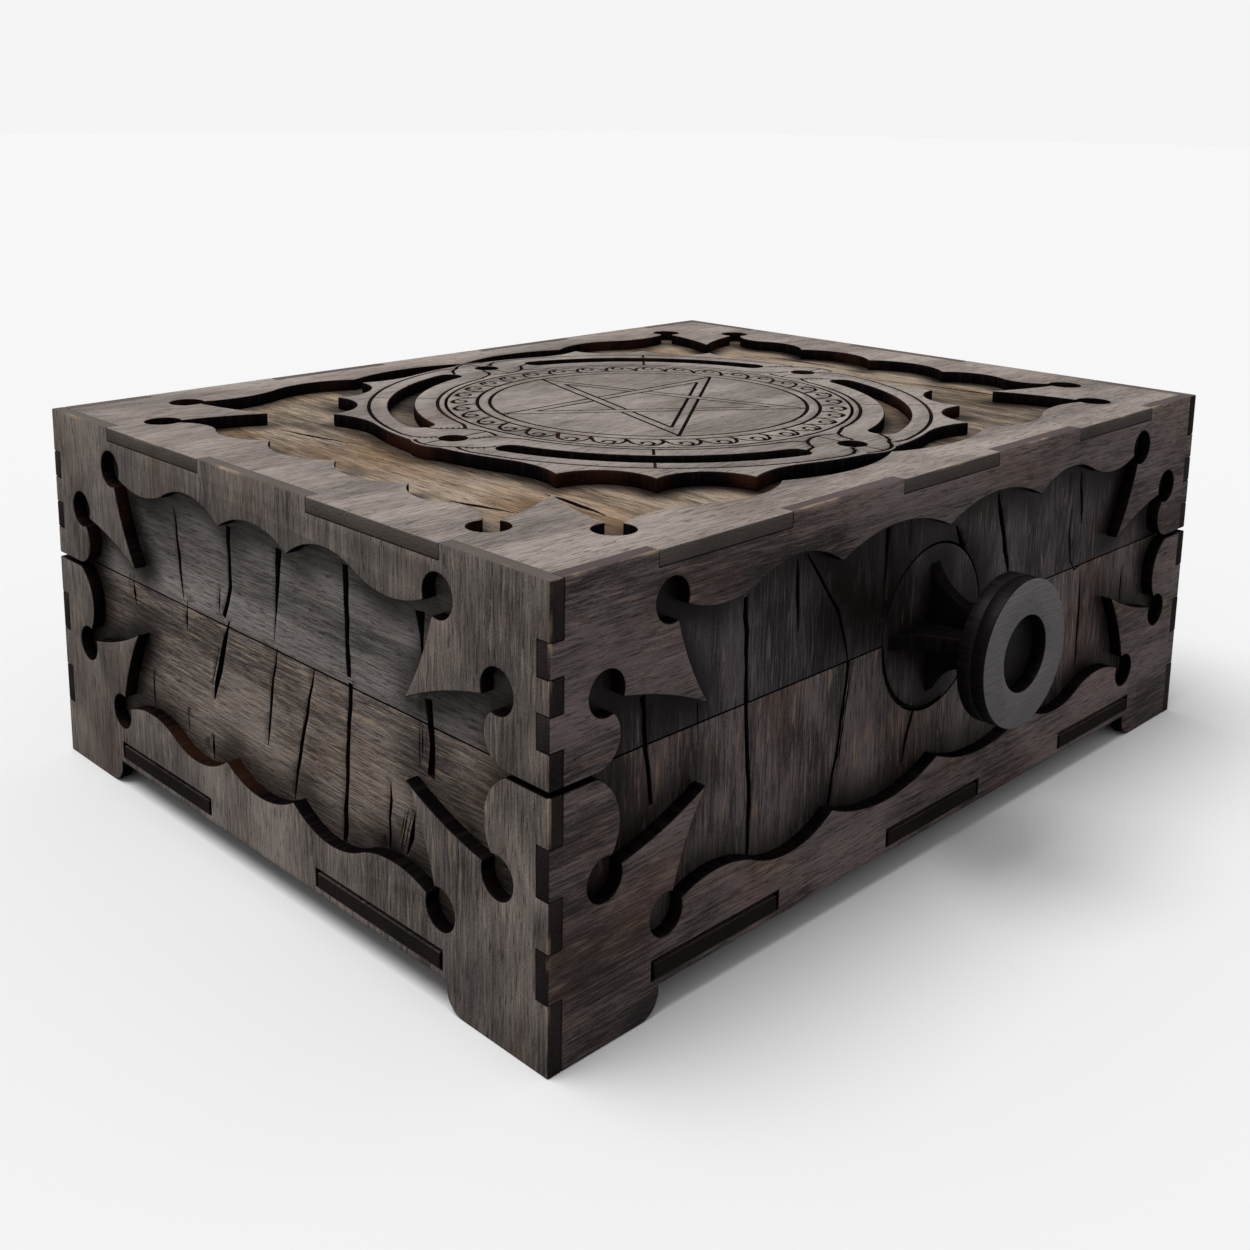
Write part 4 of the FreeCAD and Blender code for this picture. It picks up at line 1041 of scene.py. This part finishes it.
            # The front's finishes hold painted shade
            prefix = "FRONT" if side is Side.FRONT else "SIDE"
            runs = self.cracks(side, rng)
            for level in Level:
                wall = f"{level.value}_{side.value}"
                frame = SheetPiece(f"{wall}_frame", level.value, "frame_ply", Finish[f"{prefix}_FRAME"],
                                   through, length if is_long else Axis.Z, face_high, sanded=True)
                # The plank is darkened next to its frame with smoke and painted shade
                panel = SheetPiece(f"{wall}_panel", level.value, "plank_ply",
                                   Finish[f"{prefix}_{level.name}_PLANK"], through,
                                   Axis.Z if is_long else length, face_high, edge=self.panel_edge,
                                   smoked_by=(frame.node,))
                # The lid's front plank is also darkened round the rose, and has the dark spot
                if side is Side.FRONT and level is Level.LID:
                    panel.smoked_by += ("rose_disc",)
                    panel.soot, panel.shift = Knob.soot, Knob.shift
                for split, run in runs:
                    kept = self.clip(run, level)
                    if len(kept) > 1:
                        panel.strokes += split.strokes(rng, kept)
                made += [frame, panel]
        return made

    @staticmethod
    def clip(run: Sequence[Point], level: Level) -> list[Point]:
        """Parts a crack at the seam.

        Args:
            run: The whole crack.
            level: The half of the box whose part is kept.

        Returns:
            The part.
        """
        kept: list[Point] = []
        for start, stop in zip(run, run[1:]):
            ends = [start, stop]
            if (start[1] - BOX.seam) * (stop[1] - BOX.seam) < 0:
                share = (BOX.seam - start[1]) / (stop[1] - start[1])
                ends.insert(1, (start[0] + (stop[0] - start[0]) * share, BOX.seam))
            for point in ends:
                inside = point[1] >= BOX.seam if level is Level.LID else point[1] <= BOX.seam
                if inside and point not in kept:
                    kept.append(point)
        return kept


@dataclass
class StarDial:
    """The turning star disc and the fixed ring round it."""

    middle: Point = (0.0, BOX.middle)
    edge: float = 0.4 * MM
    line: float = 0.95 * MM
    deep: float = 1.3
    # Widths of the star's lines, the rules and the stitches, as shares of the common line
    star_line: float = 0.9
    rule_line: float = 0.75
    stitch_line: float = 0.5
    # The disc's circles and its star of double lines
    circles: tuple[float, ...] = (38.0 * MM, 41.0 * MM)
    circle_steps: int = 120
    star_points: int = 5
    star_radius: float = 37.6 * MM
    band: float = 2.6 * MM
    # The border: its count of scrolls and its radius in millimetres, then a scroll's stem and crest as
    # (out, aside) in millimetres from there
    scrolls: int = 34
    border: float = 44.6
    scroll_stem: Run = ((-3.3, -4.0), (-1.9, -3.2), (-0.3, -2.6), (1.0, -1.8))
    scroll_crest: Run = ((2.3, 0.9), (2.4, 1.9), (1.8, 3.1), (0.5, 4.0), (-1.4, 4.4), (-3.3, 4.2))
    # The curl on a stem: its steps, its first angle and its turn in degrees, its first size and what that
    # loses on the way in, and its middle
    curl_steps: int = 14
    curl_angle: float = -60
    curl_turn: float = 380
    curl_size: float = 2.1
    curl_loss: float = 1.2
    curl_middle: Point = (0.3, 0.8)
    # The ring: the circle of its lobes' holes in millimetres, and the radii of the interlaced lines round the
    # dial and round a hole
    lobe_pitch: float = 60.0
    outer_line: float = 66.5 * MM
    inner_line: float = 50.4 * MM
    outer_turn: float = 8.2 * MM
    inner_turn: float = 9.4 * MM
    # Arcs of these lines, in degrees from a lobe, round the dial and then round the lobe's hole
    outer_span: Span = (10.2, 79.8)
    inner_span: Span = (12.5, 78.5)
    span_steps: int = 36
    outer_sweep: Span = (58, -34)
    inner_sweep: Span = (248, 150)
    sweep_steps: int = 14
    # Their ends at a lobe, as (out, aside) in millimetres from its hole
    outer_lead: Run = ((4.6, 6.8), (5.3, 9.0))
    outer_crossing: Run = ((5.7, -10.3), (5.6, -7.4), (4.2, -4.8), (1.9, -2.9))
    inner_crossing: Run = ((-1.9, 2.9), (-3.2, 3.6), (-5.5, 4.0), (-8.0, 5.7), (-9.7, 9.0))
    inner_lead: Run = ((-9.8, -8.2), (-8.9, -6.8), (-7.7, -5.5))
    inner_turn_lead: Run = ((-2.3, -12.4), (-2.9, -10.6))
    outer_turn_lead: Run = ((-1.6, 12.2), (0.8, 11.0), (3.0, 9.2))
    # Rules across the ring: degrees from a lobe, then start and stop in millimetres from the holes' circle
    rules: tuple[tuple[float, float, float], ...] = (
        (0, -9.2, -3.2), (0, 3.2, 8.0), (45, -9.6, -4.4), (45, 2.4, 6.4))
    # Stitches of a row beside the crossings, and the rows: where each starts and stops, and its stitches' way
    stitches: int = 4
    stitch_rows: tuple[tuple[Point, Point, Point], ...] = (
        ((2.4, -3.3), (5.0, -5.8), (0.1, 1.3)), ((-3.4, 3.6), (-6.8, 4.8), (-0.1, -1.3)),
        ((-3.8, -8.8), (-6.9, -6.5), (-0.8, -1.0)), ((0.8, 11.0), (3.6, 8.6), (0.6, 1.1)),
    )

    def circle(self, radius: float) -> Stroke:
        """Returns a full circle round the dial's axis."""
        points = arc(self.middle, radius, 0, 360, self.circle_steps)[:-1]
        return Stroke(points, self.line, closed=True, deep=self.deep)

    def star(self) -> list[Stroke]:
        """Draws the interlaced star as double lines.

        Returns:
            The lines, each broken where it passes under another.
        """
        turn = math.radians(360 / self.star_points)
        sine, cosine = math.sin(turn), math.cos(turn)
        outer = self.star_radius * cosine
        inner = outer - self.band
        strokes = []
        for ray in range(self.star_points):
            angle = math.radians(90) + turn * ray
            normal = (math.cos(angle), math.sin(angle))
            along = (-normal[1], normal[0])
            for offset in (outer, inner):
                reach = offset * math.tan(turn)
                under = ((inner - offset * cosine) / sine, (outer - offset * cosine) / sine)
                for start, stop in ((-reach, under[0]), (under[1], reach)):
                    ends = tuple((self.middle[0] + normal[0] * offset + along[0] * run,
                                  self.middle[1] + normal[1] * offset + along[1] * run)
                                 for run in (start, stop))
                    strokes.append(Stroke(ends, self.line * self.star_line, deep=self.deep))
        return strokes

    def scroll(self, number: int) -> list[Stroke]:
        """Draws one scroll of the border: its stem with the curl, and the crest that falls to the next stem.

        Args:
            number: Its place round the dial.

        Returns:
            The two lines.
        """
        stem = list(self.scroll_stem)
        for index in range(self.curl_steps + 1):
            share = index / self.curl_steps
            turn = math.radians(self.curl_angle + self.curl_turn * share)
            size = self.curl_size - self.curl_loss * share
            stem.append((self.curl_middle[0] + size * math.cos(turn),
                         self.curl_middle[1] + size * math.sin(turn)))
        angle = 360 * number / self.scrolls
        return [Stroke(self.around(angle, [(self.border + out, aside) for out, aside in line]), self.line)
                for line in (stem, self.scroll_crest)]

    def around(self, angle: float, points: Sequence[Point]) -> Run:
        """Places points given as (out, aside) in millimetres at an angle round the dial."""
        turn = math.radians(angle)
        return tuple((self.middle[0] + (out * math.cos(turn) - aside * math.sin(turn)) * MM,
                      self.middle[1] + (out * math.sin(turn) + aside * math.cos(turn)) * MM)
                     for out, aside in points)

    def at_lobe(self, angle: float, points: Sequence[Point]) -> Run:
        """Places points given from a lobe's hole as (out, aside) in millimetres."""
        return self.around(angle, [(self.lobe_pitch + out, aside) for out, aside in points])

    def ribbon(self) -> list[Stroke]:
        """Draws the two interlaced bands on the ring.

        Returns:
            Their lines, the rules and the stitches.
        """
        strokes = []
        for angle in (0, 90, 180, 270):
            here, there = partial(self.at_lobe, angle), partial(self.at_lobe, angle + 90)
            hole = here(((0, 0),))[0]
            outer, inner = (arc(self.middle, radius, angle + start, angle + stop, self.span_steps)
                            for radius, (start, stop) in ((self.outer_line, self.outer_span),
                                                          (self.inner_line, self.inner_span)))
            near, far = (arc(hole, radius, angle + start, angle + stop, self.sweep_steps)
                         for radius, (start, stop) in ((self.inner_turn, self.inner_sweep),
                                                       (self.outer_turn, self.outer_sweep)))
            lines = [
                here(self.outer_lead) + outer + there(self.outer_crossing),
                here(self.inner_crossing) + inner + there(self.inner_lead),
                here(self.inner_turn_lead) + near,
                here(self.outer_turn_lead) + far,
            ]
            strokes += [Stroke(line, self.line, deep=self.deep) for line in lines]
            rules = [self.at_lobe(angle + turn, ((start, 0), (stop, 0))) for turn, start, stop in self.rules]
            strokes += [Stroke(rule, self.line * self.rule_line) for rule in rules]
            for start, stop, way in self.stitch_rows:
                for index in range(self.stitches):
                    share = index / (self.stitches - 1)
                    root = (start[0] + (stop[0] - start[0]) * share, start[1] + (stop[1] - start[1]) * share)
                    stitch = here((root, (root[0] + way[0], root[1] + way[1])))
                    strokes.append(Stroke(stitch, self.line * self.stitch_line))
        return strokes

    def pieces(self) -> list[SheetPiece]:
        """Lists the dial's two sheets.

        Returns:
            The disc and the ring.
        """
        disc = SheetPiece("dial_disc", "dial", "dial_ply", Finish.DIAL, Axis.Z, Axis.X, edge=self.edge)
        disc.strokes = [self.circle(radius) for radius in self.circles] + self.star()
        disc.strokes += [line for number in range(self.scrolls) for line in self.scroll(number)]
        ring = SheetPiece("dial_ring", "lid", "dial_ply", Finish.DIAL, Axis.Z, Axis.X, edge=self.edge)
        ring.strokes = self.ribbon()
        return [disc, ring]


@dataclass
class Top:
    """The scalloped top frame and the plank deck under it."""

    seed: int = 17
    # How far the smoke and painted shade round the frame and the ring reach on the deck
    smoke_reach: float = 7 * MM
    # Cracks in the deck, in millimetres from the top's near left corner: those that show, as read on the face
    # of the frame, and those that are guessed beyond the dial
    seen_cracks: tuple[Split, ...] = (
        Split(((13, 80), (13.5, 70), (14.3, 57)), 1.0),
        Split(((17.5, 46), (19, 40), (21, 32)), 1.1),
        Split(((27, 116), (28.5, 106), (31, 95)), 0.9),
        Split(((33.5, 38), (33, 30), (31.5, 20)), 1.1),
        Split(((10.5, 57), (12, 54)), 1.4, Taper.FALL),
    )
    hidden_cracks: tuple[Split, ...] = (
        Split(((196, 118), (198, 92)), 1.0),
        Split(((193, 64), (195, 40)), 1.1),
        Split(((178, 140), (179, 126)), 0.9),
    )

    def onto_deck(self, run: Sequence[Point], seen: bool) -> list[Point]:
        """Moves a run from the top's near left corner to the deck, along the line of sight if it is seen.

        Args:
            run: Millimetres along and across the top.
            seen: Whether the run was read on the top frame's face, above the deck.

        Returns:
            The run in metres of the shared frame.
        """
        corner = (-BOX.half_width, BOX.middle - BOX.half_depth)
        run = [(corner[0] + a * MM, corner[1] + b * MM) for a, b in run]
        gap = EYE.z - BOX.height
        stretch = (gap + BOX.ply) / gap if seen else 1.0
        return [(EYE.x + (a - EYE.x) * stretch, EYE.y + (b - EYE.y) * stretch) for a, b in run]

    def pieces(self) -> list[SheetPiece]:
        """Lists the two sheets of the top.

        Returns:
            The frame and the deck.
        """
        rng = random.Random(self.seed)
        frame = SheetPiece("top_frame", "lid", "frame_ply", Finish.TOP_FRAME, Axis.Z, Axis.X, sanded=True)
        deck = SheetPiece("deck_panel", "lid", "deck_ply", Finish.DECK, Axis.Z, Axis.Y,
                          smoked_by=("top_frame", "dial_ring"), smoke_reach=self.smoke_reach)
        for split in self.seen_cracks + self.hidden_cracks:
            deck.strokes += split.strokes(rng, self.onto_deck(split.run, split in self.seen_cracks))
        return [frame, deck]


@dataclass
class Knob:
    """The knob on the front and the rose that it stands on."""

    edge: float = 0.25 * MM
    rose_edge: float = 0.12 * MM
    # The open joint along the rose: how far in it lies, its width, its arc in degrees and its steps
    groove_inset: float = 0.2 * MM
    groove_width: float = 1.1 * MM
    groove_arc: Span = (182, 286)
    groove_steps: int = 26
    # The pattern that the rose shares with the plank round it
    shift: float = 13.0
    # A dark spot above and beside the rose, as its middle and its reach
    soot: tuple[tuple[Vector, float], ...] = (
        (Vector((-24 * MM, BOX.middle - BOX.half_depth + BOX.ply, 63 * MM)), 25 * MM),)

    def groove(self) -> Stroke:
        """Draws the open joint along the lower left of the rose.

        Returns:
            The line.
        """
        low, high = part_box("rose_disc")
        middle = ((low[0] + high[0]) / 2, (low[2] + high[2]) / 2)
        radius = (high[0] - low[0]) / 2 - self.groove_inset
        return Stroke(arc(middle, radius, *self.groove_arc, self.groove_steps), self.groove_width)

    def pieces(self) -> list[SheetPiece]:
        """Lists the knob's visible sheets.

        Returns:
            The two discs of the knob, the rose and the two plates of the stem.
        """
        made = [SheetPiece(node, "knob", "knob_ply", finish, Axis.Y, Axis.X, False, edge=self.edge)
                for node, finish in (("knob_front_ring", Finish.KNOB), ("knob_back_disc", Finish.KNOB_BACK))]
        # The rose is darkened next to the stem plates with smoke and painted shade
        made.append(SheetPiece("rose_disc", "knob", "knob_ply", Finish.FRONT_LID_PLANK, Axis.Y, Axis.Z, False,
                               edge=self.rose_edge, strokes=[self.groove()], soot=self.soot, shift=self.shift,
                               smoked_by=("stem_upright_plate", "stem_level_plate")))
        made.append(SheetPiece("stem_upright_plate", "knob", "knob_ply", Finish.STEM, Axis.X, Axis.Y))
        made.append(SheetPiece("stem_level_plate", "knob", "knob_ply", Finish.STEM, Axis.Z, Axis.Y))
        return made


@dataclass
class Inside:
    """What shows only when the lid is off: liners, floor and locks."""

    # Pieces that lie alike: their nodes, their finish, the axis through them and the axis of their grain
    groups: tuple[tuple[tuple[str, ...], Finish, Axis, Axis], ...] = (
        (("front_liner", "back_liner"), Finish.BARE, Axis.Y, Axis.X),
        (("left_liner", "right_liner"), Finish.BARE, Axis.X, Axis.Y),
        (("floor_panel",), Finish.TAB, Axis.Z, Axis.X),
        (("bolt_strike",), Finish.BARE, Axis.Y, Axis.Z),
        (("lock_pinion", "lock_bolt", "dial_spacer", "dial_washer"), Finish.BARE, Axis.Z, Axis.Y),
        (("front_bolt_guide", "back_bolt_guide", "latch_hook", "knob_washer"), Finish.BARE, Axis.Y, Axis.X),
        (("dial_spindle",), Finish.DOWEL, Axis.Z, Axis.Z),
        (("knob_spindle", "lid_peg"), Finish.DOWEL, Axis.Y, Axis.Y),
    )

    def pieces(self) -> list[InnerPiece]:
        """Lists the inner pieces, of which only the floor's tabs reach the sanded outside."""
        return [InnerPiece(node, finish, through, grain, sanded=finish is Finish.TAB)
                for nodes, finish, through, grain in self.groups for node in nodes]


@dataclass
class Studio:
    """Camera, light and floor."""

    azimuth: float = -43.997
    elevation: float = 11.345
    roll: float = 0.572
    lens: float = 42.734
    sensor: float = 36
    near: float = 0.01
    shift: Point = (0.032, -0.18)
    sky: float = 0.385
    sun: float = 2.1
    sun_way: tuple[float, float, float] = (-0.26, 0.15, 0.95)
    sun_spread: float = 40
    floor_seen: float = 0.913
    floor_bounce: float = 0.2
    floor_half: float = 6.0

    def camera(self) -> None:
        """Adds the camera at the photograph's angle."""
        data = bpy.data.cameras.new("camera")
        data.sensor_width = self.sensor
        data.lens = self.lens
        data.shift_x, data.shift_y = self.shift
        data.clip_start = self.near
        camera = bpy.data.objects.new("camera", data)
        bpy.context.scene.collection.objects.link(camera)
        turn = Matrix.Rotation(math.radians(self.azimuth), 4, "Z")
        tilt = Matrix.Rotation(math.radians(90 - self.elevation), 4, "X")
        roll = Matrix.Rotation(math.radians(self.roll), 4, "Z")
        camera.matrix_world = Matrix.Translation(EYE) @ turn @ tilt @ roll
        bpy.context.scene.camera = camera

    def light(self) -> None:
        """Adds one soft sun and an even sky, which looks pale behind the box."""
        data = bpy.data.lights.new("sun", "SUN")
        data.energy = self.sun
        data.angle = math.radians(self.sun_spread)
        sun = bpy.data.objects.new("sun", data)
        bpy.context.scene.collection.objects.link(sun)
        sun.rotation_mode = "QUATERNION"
        sun.rotation_quaternion = Vector(self.sun_way).to_track_quat("Z", "Y")
        world = bpy.data.worlds.new("sky")
        bpy.context.scene.world = world
        graph = ShaderGraph(world)
        light, pale = (graph.node("ShaderNodeBackground", None, {"Color": (1, 1, 1), "Strength": strength})
                       for strength in (self.sky, self.floor_seen))
        mix = graph.node("ShaderNodeMixShader", None, {
            0: graph.seen(), 1: light.outputs[0], 2: pale.outputs[0]})
        graph.node("ShaderNodeOutputWorld", None, {"Surface": mix.outputs[0]})

    def floor(self) -> None:
        """Adds the pale floor, which looks lighter than the light it throws back."""
        bpy.ops.object.select_all(action="DESELECT")
        bpy.ops.mesh.primitive_plane_add(size=self.floor_half * 2)
        floor = bpy.context.view_layer.objects.active
        floor.name = "floor"
        graph = ShaderGraph(bpy.data.materials.new("floor_pale"))
        shade = graph.blend(graph.seen(), (self.floor_bounce,) * 3, (self.floor_seen,) * 3)
        dull = graph.node("ShaderNodeBsdfDiffuse", None, {"Color": shade})
        graph.node("ShaderNodeOutputMaterial", None, {"Surface": dull.outputs[0]})
        floor.data.materials.append(graph.owner)

    def build(self) -> None:
        """Sets up the whole studio."""
        bpy.context.scene.view_settings.view_transform = "Standard"
        self.camera()
        self.light()
        self.floor()


def main() -> None:
    """Builds every sub-assembly in order, then the studio."""
    logging.basicConfig(level=logging.INFO, format="%(name)s: %(message)s")
    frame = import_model()
    rng = random.Random(PATTERN_SEED)
    for assembly in (Walls(), Top(), StarDial(), Knob(), Inside()):
        for piece in assembly.pieces():
            made = piece.build(frame["nodes"], rng.uniform(0, PATTERN_SPREAD))
            LOG.info("%s: %d faces", made.name, len(made.data.polygons))
    Studio().build()


if __name__ == "__main__":
    main()
